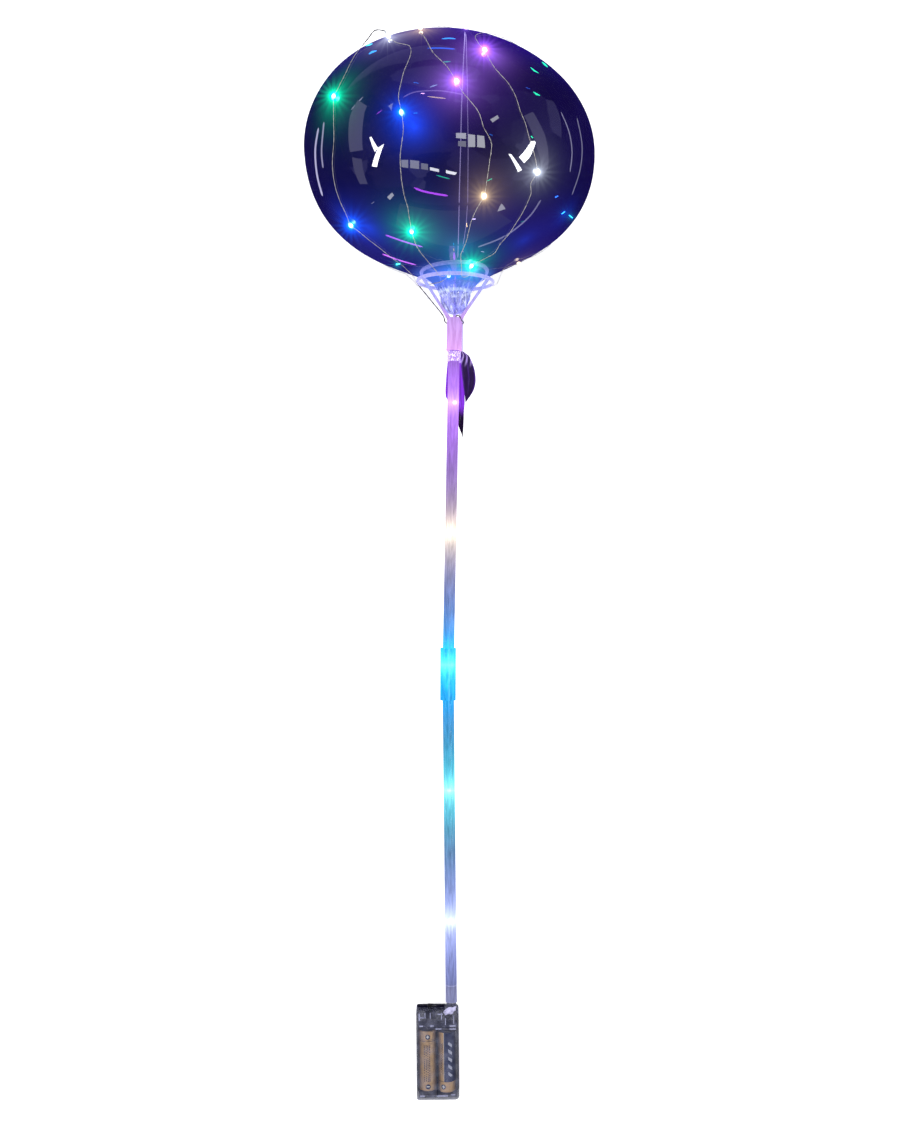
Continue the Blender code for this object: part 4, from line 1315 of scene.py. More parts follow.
    def drop(self, data: MeshData, place: Vector, way: Vector, light: Light) -> None:
        """Add one resin drop.

        Args:
            data: The mesh that it joins.
            place: Its middle.
            way: The wire's direction there.
            light: Its light.
        """
        points = [place + way * self.drop_half * share for share, _, _ in self.drop_profile]
        radii = [self.drop_radius * radius for _, radius, _ in self.drop_profile]
        core = Vector(self.drop_core) * light.power
        tints = [tuple(light.colour * glow + core * glow * glow) for _, _, glow in self.drop_profile]
        data.tube(points, radii, self.drop_sides, 1, tints)


@dataclass(frozen=True)
class Wash:
    """Light that the film carries over some heights: its colour, and where it fades in and out."""

    colour: Colour
    edges: tuple[Pair, ...] = ()


@dataclass
class BalloonFilm:
    """The inflated film with its crumpled neck, pressed flat where it lies."""

    lights: list
    sides: int = 192
    steps: tuple[int, int, int] = (76, 56, 16)
    neck_foot: float = 0.6500
    neck_end: float = 0.6430
    foot_curve: tuple[Pair, Pair] = ((0.0105, 0.6495), (0.0060, 0.6448))
    foot_steps: int = 10
    pleats: tuple[Place, ...] = ((7, 0.0, 0.6), (11, 1.9, 0.45), (17, 4.1, 0.25))
    pleat_edges: tuple[Pair, Pair] = ((0.6700, 0.6570), (0.6430, 0.6475))
    pleat_slant: float = 90.0
    pleat_depth: float = 0.0011
    lump_depth: float = 0.0012
    groove_gap: float = 0.0004
    groove_edges: Pair = (0.0020, 0.0036)
    groove_heights: Pair = (0.004, 0.006)
    reach: float = 0.0085
    farthest: float = 0.08
    washes: tuple[Wash, ...] = (
        Wash((0.002, 0.000, 0.022)), Wash((0.014, 0.000, 0.190), ((0.800, 0.866),)),
        Wash((0.008, 0.004, 0.090), ((0.735, 0.690),)),
        Wash((0.060, 0.150, 0.560), ((0.6800, 0.6720), (0.6620, 0.6680))),
        Wash((0.42, 0.50, 0.55), ((0.6598, 0.6612), (0.6632, 0.6618))),
    )
    neck_wash: Colour = (0.130, 0.130, 0.560)
    neck_shine: Colour = (0.90, 1.00, 1.20)
    neck_line: float = 0.6690
    neck_full: float = 0.6620
    finish: FilmFinish = FilmFinish()
    neck_finish: FilmFinish = FilmFinish((0.08, 0.09, 0.26), (0.02, 0.03, 0.12), 0.60, 0.05, 0.2, 0.9, 1.6)

    def __post_init__(self) -> None:
        """Find the places that catch more light."""
        skin = Skin()
        self.haze = [
            (skin.place(down, turn, 0.0), Vector(lamp.value) * share)
            for down, turn, lamp, share in HAZE_SPOTS
        ]

    def outline(self) -> list[Pair]:
        """List the whole half outline, the foot of the neck with it.

        Returns:
            Points of (radius, height).
        """
        points = SHAPE.outline(*self.steps)
        start = Vector(points[-1])
        second, end = (Vector(point) for point in self.foot_curve)
        points += bezier(start, start - Vector((0.0, 0.002)), second, end, self.foot_steps)
        return points + [(0.0030, self.neck_end + 0.0008), (0.0, self.neck_end)]

    def crumple(self, angle: float, height: float) -> float:
        """Find how far the film of the neck stands in or out.

        Args:
            angle: Radians round the neck.
            height: Height in the stick frame.

        Returns:
            The distance.
        """
        share = math.prod(ease(*edges, height) for edges in self.pleat_edges)
        slant = self.pleat_slant * (height - self.neck_foot)
        waves = sum(size * math.sin(count * angle + turn + slant) for count, turn, size in self.pleats)
        lumps = noise.noise(Vector((math.cos(angle) * 2.4, height * 420, math.sin(angle) * 2.4)))
        return share * (self.pleat_depth * waves + self.lump_depth * lumps)

    def tint(self, place: Vector) -> Vector:
        """Find the light that the film carries at a place.

        Args:
            place: A place in the stick frame.

        Returns:
            The colour.
        """
        total = Vector()
        for wash in self.washes:
            total += Vector(wash.colour) * math.prod(ease(*edges, place.y) for edges in wash.edges)
        neck = ease(self.neck_line, self.neck_full, place.y)
        if neck > 0:
            lump = noise.noise(Vector((place.x * 300, place.y * 120, place.z * 300)))
            fold = noise.noise(Vector((place.x * 300 + 9, place.y * 50, place.z * 300)))
            shine = Vector(self.neck_shine) * max(0.0, 1.0 - 9.0 * abs(fold)) ** 2
            total += (Vector(self.neck_wash) * max(0.62 + 2.4 * lump, 0.05) + shine) * neck
        for spot, colour in self.lights + self.haze:
            distance = (spot - place).length
            if distance < self.farthest:
                total += colour * math.exp(-distance / self.reach)
        return total

    def build(self, string: LightString) -> bpy.types.Object:
        """Make the balloon.

        Args:
            string: The light string, which presses into the film under it.

        Returns:
            The new piece.
        """
        data = MeshData()
        data.lathe(self.outline(), self.sides)
        press, near = self.groove_heights
        wires = [LAY @ place for place in string.line if place.y > SHAPE.ring_height]
        wires = [wire for wire in wires if wire.z < near]
        back = LAY.inverted()
        for index, place in enumerate(data.places):
            radius, angle = math.hypot(place.x, place.z), math.atan2(place.x, place.z)
            radius += self.crumple(angle, place.y) if place.y < SHAPE.ring_height else 0.0
            aside = SHAPE.sway(place.y) + radius * math.sin(angle)
            world = LAY @ Vector((aside, place.y, radius * math.cos(angle)))
            world.z = max(world.z, 0.0)
            if world.z < press and place.y > SHAPE.ring_height:
                for wire in wires:
                    beside = math.hypot(world.x - wire.x, world.y - wire.y)
                    raised = wire.z + (string.wire_radius + self.groove_gap)
                    world.z = max(world.z, raised * (1.0 - ease(*self.groove_edges, beside)))
            data.places[index] = back @ world
        data.tints = [tuple(max(part, 0.0) for part in self.tint(place)) for place in data.places]
        tops = [max(data.places[corner].y for corner in face) for face in data.faces]
        data.slots = [int(top < self.neck_line) for top in tops]
        looks = [self.finish.material("balloon_film_gloss"), self.neck_finish.material("balloon_neck_film")]
        made = data.made("balloon_film", looks, sharp=80.0)
        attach(made, Body.MAIN.value)
        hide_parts("balloon_envelope")
        return made


@dataclass
class FilmTail:
    """The free end of the neck: a strip from the neck, a wrap round the stick, a leaf and a long point."""

    thickness: float = 0.00035
    depth: float = 0.0024
    back_depth: float = -0.0058
    rows: int = 44
    columns: int = 14
    leaf_left: tuple[Pair, ...] = (
        (0.6128, 0.0052), (0.6100, 0.0054), (0.6040, 0.0056), (0.5950, 0.0066), (0.5850, 0.0080),
        (0.5780, 0.0092), (0.5720, 0.0100), (0.5706, 0.0102),
    )
    leaf_right: tuple[Pair, ...] = (
        (0.6128, 0.0078), (0.6095, 0.0122), (0.6050, 0.0148), (0.5990, 0.0170), (0.5930, 0.0181),
        (0.5870, 0.0181), (0.5810, 0.0166), (0.5760, 0.0139), (0.5725, 0.0114), (0.5706, 0.0104),
    )
    point_left: tuple[Pair, ...] = (
        (0.6100, -0.0050), (0.5900, -0.0062), (0.5760, -0.0060), (0.5680, 0.0002), (0.5630, 0.0036),
        (0.5530, 0.0047), (0.5428, 0.0083),
    )
    point_right: tuple[Pair, ...] = (
        (0.6100, 0.0066), (0.5900, 0.0086), (0.5720, 0.0096), (0.5640, 0.0091), (0.5600, 0.0091),
        (0.5500, 0.0089), (0.5428, 0.0085),
    )
    leaf_roll: float = 0.0042
    leaf_crease: float = 0.0007
    leaf_lump: float = 0.0009
    crease_turns: Pair = (13, 3.2)
    point_sag: float = 0.0008
    point_crease: float = 0.0004
    strip: tuple[Pair, ...] = (
        (0.0040, 0.6500), (0.0090, 0.6452), (0.0093, 0.6380), (0.0091, 0.6125), (0.0060, 0.6090),
    )
    strip_turn: float = 145.0
    strip_width: float = 0.0042
    strip_crease: float = 0.0003
    strip_wave: float = 0.9
    strip_thickness: float = 0.0005
    wrap_radius: float = 0.0056
    wrap_inner: float = 0.00505
    wrap_lump: float = 0.0007
    wrap_heights: Pair = (0.6046, 0.6127)
    wrap_sides: int = 72
    wrap_rows: int = 12
    wrap_light: Colour = (0.38, 0.22, 0.80)
    edge_glow: Colour = (0.200, 0.060, 0.700)
    fold_glow: Colour = (0.42, 0.30, 0.70)
    point_glow: Colour = (0.300, 0.040, 0.950)
    strip_light: Colour = (0.16, 0.15, 0.45)
    finish: FilmFinish = FilmFinish((0.014, 0.003, 0.030), (0.006, 0.001, 0.014), 0.97, 0.24, 0.2, 0.25, 1.25)
    pale_finish: FilmFinish = FilmFinish((0.30, 0.24, 0.50), (0.14, 0.10, 0.30), 0.42, 0.06, 0.2, 0.8, 1.5)

    @staticmethod
    def across(edge: Sequence[Pair], height: float) -> float:
        """Read an edge at a height.

        Args:
            edge: Points of (height, distance to the right), from the top down.
            height: Where it is read.

        Returns:
            The distance to the right.
        """
        index = 0
        while index < len(edge) - 2 and edge[index + 1][0] > height:
            index += 1
        four = [Vector(stop) for stop in four_stops(edge, index)]
        return smooth_step(*four, (height - four[1].x) / (four[2].x - four[1].x)).y

    def sheet(self, data: MeshData, left: Sequence, right: Sequence, folds: Callable[[float, float], float],
              tint: Callable[[float, float], Colour]) -> None:
        """Add a thin folded sheet between two edges.

        Args:
            data: The mesh that it joins.
            left: Its left edge.
            right: Its right edge.
            folds: Depth at a share across and a share down.
            tint: Light carried at a share across and a share down.
        """
        top, low = left[0][0], left[-1][0]
        front, back, colours = [], [], []
        for row in range(self.rows + 1):
            down = row / self.rows
            height = top + (low - top) * down
            near, far = self.across(left, height), self.across(right, height)
            for column in range(self.columns + 1):
                share = column / self.columns
                depth = folds(share, down)
                place = (near + (far - near) * share, height - STICK.joint[1], depth)
                front.append(STICK.turned(-STICK.upper_lean, place))
                back.append(STICK.turned(-STICK.upper_lean, (place[0], place[1], depth - self.thickness)))
                colours.append(tint(share, down))
        wide, count = self.columns + 1, len(front)
        faces = []
        for row in range(self.rows):
            for column in range(self.columns):
                corner = row * wide + column
                face = (corner, corner + 1, corner + wide + 1, corner + wide)
                faces.append(face)
                faces.append(tuple(count + index for index in reversed(face)))
        rim = list(range(wide))
        rim += [row * wide + self.columns for row in range(1, self.rows + 1)]
        rim += [self.rows * wide + column for column in range(self.columns - 1, -1, -1)]
        rim += [row * wide for row in range(self.rows - 1, 0, -1)]
        for index, corner in enumerate(rim):
            ahead = rim[(index + 1) % len(rim)]
            faces.append((ahead, corner, count + corner, count + ahead))
        data.add(front + back, faces, 0, colours + colours)

    def leaf_folds(self, share: float, down: float) -> float:
        """Give the depth of the leaf: a rolled outer edge and long creases that gather at its top.

        Args:
            share: Share of the way across.
            down: Share of the way down.

        Returns:
            The depth.
        """
        across, along = self.crease_turns
        roll = self.leaf_roll * share * share * math.sin(math.pi * min(down * 1.15, 1.0))
        creases = self.leaf_crease * math.sin(across * share + along * down) * (1.0 - 0.5 * down)
        lumps = self.leaf_lump * noise.noise(Vector((share * 4, down * 7, 1.7)))
        return self.depth - roll + creases + lumps

    def leaf_tint(self, share: float, down: float) -> Colour:
        """Give the light in the leaf: violet along its edges and pale folds at its top.

        Args:
            share: Share of the way across.
            down: Share of the way down.

        Returns:
            The light.
        """
        across, along = self.crease_turns
        edge = max(0.0, 1.0 - min(share, 1.0 - share) * 9.0)
        crease = max(0.0, math.sin(across * share + along * down)) ** 6
        # Painted highlights on the folds at the top of the leaf.
        top = 1.7 * ease(0.32, 0.16, down) * max(0.0, math.sin(15 * share + 34 * down)) ** 3
        glow = 0.05 + 0.30 * edge + 0.35 * crease * (1.0 - down)
        return tuple(part * glow + top * fold_highlight for part, fold_highlight in zip(self.edge_glow, self.fold_glow))

    def point_folds(self, share: float, down: float) -> float:
        """Give the depth of the long point behind the stick: a slack sheet with a crease."""
        crease = self.point_crease * math.sin(9 * share + 11 * down)
        return self.back_depth - self.point_sag * math.sin(math.pi * share) - crease

    def point_tint(self, share: float, down: float) -> Colour:
        """Give the light in the long point: bright violet near the light in the stick, dark at its tip.

        Args:
            share: Share of the way across.
            down: Share of the way down.

        Returns:
            The light.
        """
        edge = 0.9 * ease(0.16, 0.04, share)
        wave = (0.75 + 0.25 * math.sin(30 * share)) * ease(0.1, 0.6, share)
        return tuple(part * (ease(0.76, 0.60, down) * (wave + edge)) for part in self.point_glow)

    def wrap(self, data: MeshData) -> None:
        """Add the crumpled band of film round the stick.

        Args:
            data: The mesh that it joins.
        """
        low, high = self.wrap_heights
        corners, colours, rows = [], [], self.wrap_rows
        for row in range(2 * rows):
            outer = row < rows
            share = (row if outer else 2 * rows - 1 - row) / (rows - 1)
            height = low + (high - low) * share
            for side in range(self.wrap_sides):
                angle = math.tau * side / self.wrap_sides
                lump = noise.noise(Vector((3 * math.cos(angle), 3 * math.sin(angle), 600 * height)))
                radius = self.wrap_radius + self.wrap_lump * lump if outer else self.wrap_inner
                level = height + 0.0008 * lump * (share - 0.5)
                corners.append(STICK.about(radius, math.degrees(angle), level))
                # Painted highlights: the film is painted white along the folds of its crumples.
                fold = noise.noise(Vector((7 * math.cos(angle), 7 * math.sin(angle), 1100 * height)))
                fold_highlight = 2.2 * max(0.0, 1.0 - 6.0 * abs(fold)) ** 2
                colours.append(tuple(part + fold_highlight for part in self.wrap_light))
        data.add(corners, ring_faces(2 * rows, self.wrap_sides, True), 1, colours)

    def neck_strip(self, data: MeshData) -> None:
        """Add the strip that runs from the neck down to the wrap.

        Args:
            data: The mesh that it joins.
        """
        angle, thick = math.radians(self.strip_turn), self.strip_thickness
        centres = smooth_line([Vector((*stop, 0.0)) for stop in self.strip])
        corners = []
        for index, centre in enumerate(centres):
            crease = self.strip_crease * math.sin(index * self.strip_wave)
            upper = ((-0.5, 0.0), (-0.2, crease), (0.2, -crease), (0.5, 0.0))
            for aside, out in upper + tuple((aside, out + thick) for aside, out in reversed(upper)):
                far, side = centre.x + out, self.strip_width * aside
                place = (far * math.sin(angle) + side * math.cos(angle), centre.y - STICK.joint[1],
                         far * math.cos(angle) - side * math.sin(angle))
                corners.append(STICK.turned(-STICK.upper_lean, place))
        last, around = len(corners), len(corners) // len(centres)
        faces = ring_faces(len(centres), around)
        faces += [tuple(range(around)), tuple(reversed(range(last - around, last)))]
        data.add(corners, faces, 1, [self.strip_light] * last)

    def build(self) -> bpy.types.Object:
        """Make the tail.

        Returns:
            The new piece.
        """
        data = MeshData()
        self.sheet(data, self.leaf_left, self.leaf_right, self.leaf_folds, self.leaf_tint)
        self.sheet(data, self.point_left, self.point_right, self.point_folds, self.point_tint)
        self.wrap(data)
        self.neck_strip(data)
        looks = [self.finish.material("tail_film_dark"), self.pale_finish.material("tail_film_pale")]
        made = data.made("film_tail", looks, sharp=70.0)
        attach(made, Body.MAIN.value)
        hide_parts("balloon_envelope")
        return made


@dataclass
class HolderCup:
    """The moulded cup: ring, ribs and socket run into each other with soft corners."""

    ring_radius: float = 0.0310
    ring_bar: float = 0.0015
    ring_height: float = 0.6705
    rib_bar: float = 0.00125
    rib_foot: Pair = (0.0054, 0.6395)
    first_rib: float = 60.0
    ribs: int = 3
    socket_radius: float = 0.0063
    socket_bore: float = 0.0050
    socket_hole: float = 0.0037
    socket_heights: Pair = (0.6134, 0.6405)
    socket_stop: float = 0.6223
    voxel: float = 0.00042
    ring_steps: int = 120
    bar_sides: tuple[int, int] = (16, 14)
    rib_steps: int = 12
    rib_flares: Pair = (0.45, 0.25)
    flare_steps: int = 3
    socket_sides: int = 72
    socket_lip: Place = (0.0002, 0.0012, 0.0016)
    finish: ClearPlasticFinish = ClearPlasticFinish(
        (0.08, 0.08, 0.14), 0.86, 0.10, (0.19, 0.12, 0.45), (0.12, 0.16, 0.50), (0.635, 0.655), CUP_GLOWS,
        None, 0.5, 0.0,
    )

    def rim_place(self, angle: float) -> Vector:
        """Find a place on the ring's middle line, so many radians round it from the front."""
        radius = self.ring_radius
        return Vector((radius * math.sin(angle), self.ring_height, radius * math.cos(angle)))

    def flare(self, step: int) -> float:
        """Find how much a rib swells at a step from its foot.

        Args:
            step: The step.

        Returns:
            The share that its bar is thicker.
        """
        low, high = self.rib_flares
        end = step - (self.rib_steps - self.flare_steps)
        return low * max(0.0, 1 - step / self.flare_steps) + high * max(0.0, end / self.flare_steps)

    def build(self) -> bpy.types.Object:
        """Make the cup.

        Returns:
            The new piece.
        """
        data = MeshData()
        loop = [self.rim_place(math.tau * step / self.ring_steps) for step in range(self.ring_steps + 1)]
        data.tube(loop, [self.ring_bar] * len(loop), self.bar_sides[0])
        for index in range(self.ribs):
            angle = math.radians(self.first_rib + 360 * index / self.ribs)
            radius, height = self.rib_foot
            foot = Vector((radius * math.sin(angle), height, radius * math.cos(angle)))
            steps = range(self.rib_steps + 1)
            points = [foot.lerp(self.rim_place(angle), step / self.rib_steps) for step in steps]
            radii = [self.rib_bar * (1.0 + self.flare(step)) for step in steps]
            data.tube(points, radii, self.bar_sides[1])
        low, high = self.socket_heights
        radius, bore, hole, stop = self.socket_radius, self.socket_bore, self.socket_hole, self.socket_stop
        lip, lip_top, lip_end = self.socket_lip
        profile = [
            (bore, low), (radius + lip, low), (radius + lip, low + lip_top), (radius, low + lip_end),
            (radius, high), (hole, high), (hole, stop), (bore, stop), (bore, low),
        ]
        data.lathe(profile, self.socket_sides)
        shift = Matrix.Translation(STICK.joint) @ Matrix.Rotation(math.radians(-STICK.upper_lean), 4, "Z")
        shift = shift @ Matrix.Translation((0.0, -STICK.joint[1], 0.0))
        look = self.finish.material("cup_plastic")
        made = data.moved(shift).made("cup_moulding", [look])
        remesh = made.modifiers.new("one_moulding", "REMESH")
        remesh.mode = "VOXEL"
        remesh.voxel_size = self.voxel
        remesh.use_smooth_shade = True
        soften = made.modifiers.new("soft_corners", "SMOOTH")
        soften.factor = 0.5
        soften.iterations = 4
        settle(made)
        made.data.materials.clear()
        made.data.materials.append(look)
        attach(made, Body.MAIN.value)
        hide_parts("holder_cup")
        return made


def settle(made: bpy.types.Object) -> None:
    """Apply every modifier of an object.

    Args:
        made: The object.
    """
    graph = bpy.context.evaluated_depsgraph_get()
    fresh = bpy.data.meshes.new_from_object(made.evaluated_get(graph))
    made.modifiers.clear()
    made.data = fresh
    fresh.shade_smooth()


@dataclass(frozen=True)
class BoxFrame:
    """The battery box's own frame: X across, Y up from its foot, Z out of the front."""

    x: float = -0.0096
    lean: float = 0.6

    @property
    def matrix(self) -> Matrix:
        """The move from the box's frame into the stick frame."""
        return Matrix.Translation((self.x, 0.0, 0.0)) @ Matrix.Rotation(math.radians(self.lean), 4, "Z")


BOX = BoxFrame()


@dataclass
class BatteryCell:
    """A battery cell with a printed sleeve and bare metal ends."""

    name: str
    node: str
    slot_name: str
    centre_x: float
    minus_end: float
    upward: int
    sleeve: SleeveFinish
    radius: float = 0.00715
    can: float = 0.0492
    nub_radius: float = 0.00275
    nub: float = 0.0012
    sides: int = 96
    sleeve_steps: range = range(4, 12)

    def build(self) -> bpy.types.Object:
        """Make the cell.

        Returns:
            The new piece.
        """
        r, can, nub, top = self.radius, self.can, self.nub_radius, self.can + self.nub
        profile = [
            (0.0, 0.0), (0.0042, 0.0), (0.0045, 0.0002), (r - 0.00100, 0.0002), (r - 0.00045, 0.00028),
            (r - 0.00015, 0.0006), (r, 0.0011), (r, 0.0014), (r, can - 0.0014), (r, can - 0.0009),
            (r - 0.00020, can - 0.0004), (r - 0.00060, can - 0.0001), (r - 0.00100, can - 0.0001),
            (r - 0.00130, can - 0.0004), (nub + 0.00100, can - 0.0004), (nub + 0.00030, can - 0.0001),
            (nub, can + 0.0003), (nub - 0.00005, top - 0.0004), (nub - 0.00035, top), (0.0, top),
        ]
        slots = [0 if step in self.sleeve_steps else 1 for step in range(len(profile) - 1)]
        data = MeshData()
        data.lathe(profile, self.sides, 0, slots)
        flip = Matrix.Rotation(math.pi, 4, "Z") if self.upward < 0 else Matrix.Identity(4)
        move = BOX.matrix @ Matrix.Translation((self.centre_x, self.minus_end, 0.0)) @ flip
        metal = MetalFinish().material(self.name + "_ends")
        made = data.made(self.name, [self.sleeve.material(self.name + "_print"), metal], world=LAY @ move)
        self.mark(made, (LAY @ move).inverted())
        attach(made, Body.MAIN.value)
        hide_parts(self.node)
        return made

    def mark(self, made: bpy.types.Object, home: Matrix) -> None:
        """Write where each corner is on the sleeve: round it from the front and along it.

        Args:
            made: The cell.
            home: The move from the world into the cell's own frame.
        """
        mesh = made.data
        label = mesh.attributes.new("label", "FLOAT_VECTOR", "CORNER")
        values = np.zeros((len(mesh.loops), 3), np.float32)
        for face in mesh.polygons:
            places = [home @ mesh.vertices[mesh.loops[loop].vertex_index].co for loop in face.loop_indices]
            middle = home @ face.center
            side = math.atan2(middle.x, middle.z)
            for loop, place in zip(face.loop_indices, places):
                angle = math.atan2(place.x, place.z)
                angle += math.tau * round((side - angle) / math.tau)
                values[loop] = (angle * self.radius, place.y, 0.0)
        label.data.foreach_set("vector", values.ravel())


@dataclass
class CoilSpring:
    """A conical spring at the minus end of a cell, its wire round."""

    name: str
    node: str
    centre_x: float
    wide_end: float
    narrow_end: float
    radii: Pair = (0.0042, 0.0026)
    wire: float = 0.0003
    wire_sides: int = 8
    turns: int = 3
    steps: int = 40

    def build(self, look: bpy.types.Material) -> bpy.types.Object:
        """Make the spring.

        Args:
            look: Its material.

        Returns:
            The new piece.
        """
        points = []
        for index in range(self.turns * self.steps + 1):
            part = index / (self.turns * self.steps)
            angle = math.tau * self.turns * part
            radius = self.radii[0] + (self.radii[1] - self.radii[0]) * part
            height = self.wide_end + (self.narrow_end - self.wide_end) * part
            aside = self.centre_x + radius * math.cos(angle)
            points.append(Vector((aside, height, radius * math.sin(angle))))
        data = MeshData()
        data.tube(points, [self.wire] * len(points), self.wire_sides)
        made = data.moved(BOX.matrix).made(self.name, [look])
        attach(made, Body.MAIN.value)
        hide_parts(self.node)
        return made


@dataclass
class BoxInside:
    """What shows inside the clear case: glue at the mouth of the stick, small ribs, and two short leads."""

    glue_place: Place = (0.0102, 0.0722, 0.0070)
    glue_size: Place = (0.0048, 0.0027, 0.0024)
    glue_turn: float = 24.0
    rib_depth: float = 0.0068
    rib_thickness: float = 0.0016
    rib_bevel: float = 0.0002
    rib_boxes: tuple[tuple[float, float, float, float], ...] = (
        (-0.0150, -0.0118, 0.0592, 0.0602), (-0.0060, -0.0030, 0.0592, 0.0604),
        (-0.0020, 0.0034, 0.0570, 0.0579), (0.0098, 0.0150, 0.0592, 0.0602),
        (0.0098, 0.0152, 0.0568, 0.0578), (-0.0155, -0.0143, 0.0640, 0.0700),
        (-0.0105, -0.0098, 0.0660, 0.0706), (-0.0062, -0.0055, 0.0655, 0.0706),
        (0.0030, 0.0037, 0.0650, 0.0706), (-0.0155, -0.0110, 0.0662, 0.0668),
        (0.0000, 0.0045, 0.0690, 0.0697), (0.0062, 0.0068, 0.0605, 0.0660),
        (0.0130, 0.0136, 0.0615, 0.0680), (-0.0148, -0.0110, 0.0020, 0.0028),
        (-0.0010, 0.0080, 0.0020, 0.0030), (0.0105, 0.0140, 0.0030, 0.0038),
    )
    # The ribs are milky pale with a faint glow: painted highlights for the bright specks inside the case.
    rib_finish: GlueFinish = GlueFinish((0.46, 0.48, 0.64), (0.28, 0.29, 0.42), (0.07, 0.07, 0.12))
    lead_radius: float = 0.00032
    lead_sides: int = 8
    leads: tuple[tuple[Place, ...], ...] = (
        ((-0.0084, 0.0632, -0.0030), (-0.0092, 0.0612, -0.0010), (-0.0060, 0.0602, 0.0020),
         (0.0000, 0.0608, 0.0030), (0.0060, 0.0630, 0.0022), (0.0098, 0.0672, 0.0014)),
        ((-0.0040, 0.0632, -0.0030), (-0.0034, 0.0612, -0.0022), (0.0010, 0.0604, -0.0010),
         (0.0060, 0.0612, -0.0004), (0.0104, 0.0650, 0.0006), (0.0112, 0.0674, 0.0010)),
    )

    def glue(self) -> bpy.types.Object:
        """Make the blob of glue.

        Returns:
            The new piece.
        """
        ball = bmesh.new()
        bmesh.ops.create_icosphere(ball, subdivisions=4, radius=1.0)
        data, places = MeshData(), []
        turn = Matrix.Rotation(math.radians(self.glue_turn), 3, "Z")
        for vert in ball.verts:
            lump = 0.95 + 0.60 * noise.noise(vert.co * 1.7 + Vector((4.0, 0.0, 0.0)))
            lump += 0.16 * noise.noise(vert.co * 5.0)
            spot = Vector([part * size * lump for part, size in zip(vert.co, self.glue_size)])
            places.append(turn @ spot + Vector(self.glue_place))
        data.add(places, [[vert.index for vert in face.verts] for face in ball.faces])
        ball.free()
        return data.moved(BOX.matrix).made("glue_blob", [GlueFinish().material("milky_glue")])

    def ribs(self) -> bpy.types.Object:
        """Make the small moulded ribs along the walls.

        Returns:
            The new piece.
        """
        data = MeshData()
        for low_x, high_x, low_y, high_y in self.rib_boxes:
            middle = Vector(((low_x + high_x) / 2, (low_y + high_y) / 2, self.rib_depth))
            block = bmesh.new()
            bmesh.ops.create_cube(block, size=1.0)
            size = Vector((high_x - low_x, high_y - low_y, self.rib_thickness))
            bmesh.ops.scale(block, vec=size, verts=block.verts)
            bmesh.ops.bevel(block, geom=block.edges[:], offset=self.rib_bevel, segments=2, affect="EDGES")
            faces = [[vert.index for vert in face.verts] for face in block.faces]
            data.add([vert.co + middle for vert in block.verts], faces)
            block.free()
        return data.moved(BOX.matrix).made("case_ribs", [self.rib_finish.material("rib_plastic")])

    def wires(self) -> bpy.types.Object:
        """Make the two leads.

        Returns:
            The new piece.
        """
        data = MeshData()
        for stops in self.leads:
            stops = [Vector(stop) for stop in stops]
            points = smooth_line(stops) + [stops[-1]]
            data.tube(points, [self.lead_radius] * len(points), self.lead_sides)
        look = BlackPlasticFinish().material("lead_cover")
        return data.moved(BOX.matrix).made("switch_leads", [look])

    def build(self) -> list[bpy.types.Object]:
        """Make the three pieces.

        Returns:
            The new pieces.
        """
        made = [self.glue(), self.ribs(), self.wires()]
        for piece, slot in zip(made, ("clear_plastic", "smoky_plastic", "black_plastic")):
            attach(piece, Body.MAIN.value)
        return made


@dataclass
class CarriedNodes:
    """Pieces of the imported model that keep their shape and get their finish."""

    stick_finish: ClearPlasticFinish = ClearPlasticFinish()
    sleeve_finish: ClearPlasticFinish = ClearPlasticFinish(alpha=0.30, roughness=0.10)
    cover_finish: SmokyPlasticFinish = SmokyPlasticFinish((0.05, 0.05, 0.07), (0.09, 0.09, 0.12), 0.72, 0.2)

    def dress(self) -> None:
        """Give each carried piece its material."""
        stick = self.stick_finish.material("stick_plastic")
        sleeve = self.sleeve_finish.material("sleeve_plastic")
        smoky = SmokyPlasticFinish().material("smoky_case")
        cover = self.cover_finish.material("smoky_cover")
        metal = MetalFinish().material("plated_contact")
        black = BlackPlasticFinish().material("switch_black")
        looks = {
            "upper_stick": stick, "lower_stick": stick, "coupling_sleeve": sleeve, "battery_box": smoky,
            "battery_cover": cover, "contact_bridge": metal, "contact_plus": metal, "contact_minus": metal,
            "switch_body": black, "switch_knob": black,
        }
        for name, look in looks.items():
            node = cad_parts[name]
            for slot in node.material_slots:
                slot.material = look
            log.info("dressed %s with %s", name, look.name)


@dataclass(frozen=True)
class Mark:
    """A bright place that the film mirrors: its outline in the photograph's pixels, colour and brightness."""

    outline: tuple[Pair, ...]
    brightness: float
    colour: Colour = (0.92, 0.94, 1.00)
    is_strip: bool = False

    def faces(self) -> list[tuple[int, ...]]:
        """List the faces between the corners: one, or a row of them for a strip.

        Returns:
            The faces.
        """
        count = len(self.outline)
        if not self.is_strip:
            return [tuple(range(count))]
        return [(step, step + 1, count - 2 - step, count - 1 - step) for step in range(count // 2 - 1)]


STRIP_STEP = 4.0
STRIP_END = 0.35


def line_mark(points: Sequence[Pair], width: float, brightness: float, colour: Colour) -> Mark:
    """Make a mark along a line.

    Args:
        points: The line in the photograph's pixels.
        width: Its width in pixels.
        brightness: How bright it is.
        colour: Its colour.

    Returns:
        The mark.
    """
    line = [Vector((*point, 0.0)) for point in points]
    points = smooth_line(line, STRIP_STEP) + [line[-1]]
    ahead, back = [], []
    for index, point in enumerate(points):
        near, far = points[max(index - 1, 0)], points[min(index + 1, len(points) - 1)]
        length = math.hypot(far[0] - near[0], far[1] - near[1])
        side = (-(far[1] - near[1]) / length * width / 2, (far[0] - near[0]) / length * width / 2)
        share = 1.0 if 0 < index < len(points) - 1 else STRIP_END
        ahead.append((point[0] + side[0] * share, point[1] + side[1] * share))
        back.append((point[0] - side[0] * share, point[1] - side[1] * share))
    return Mark(tuple(ahead + back[::-1]), brightness, colour, True)


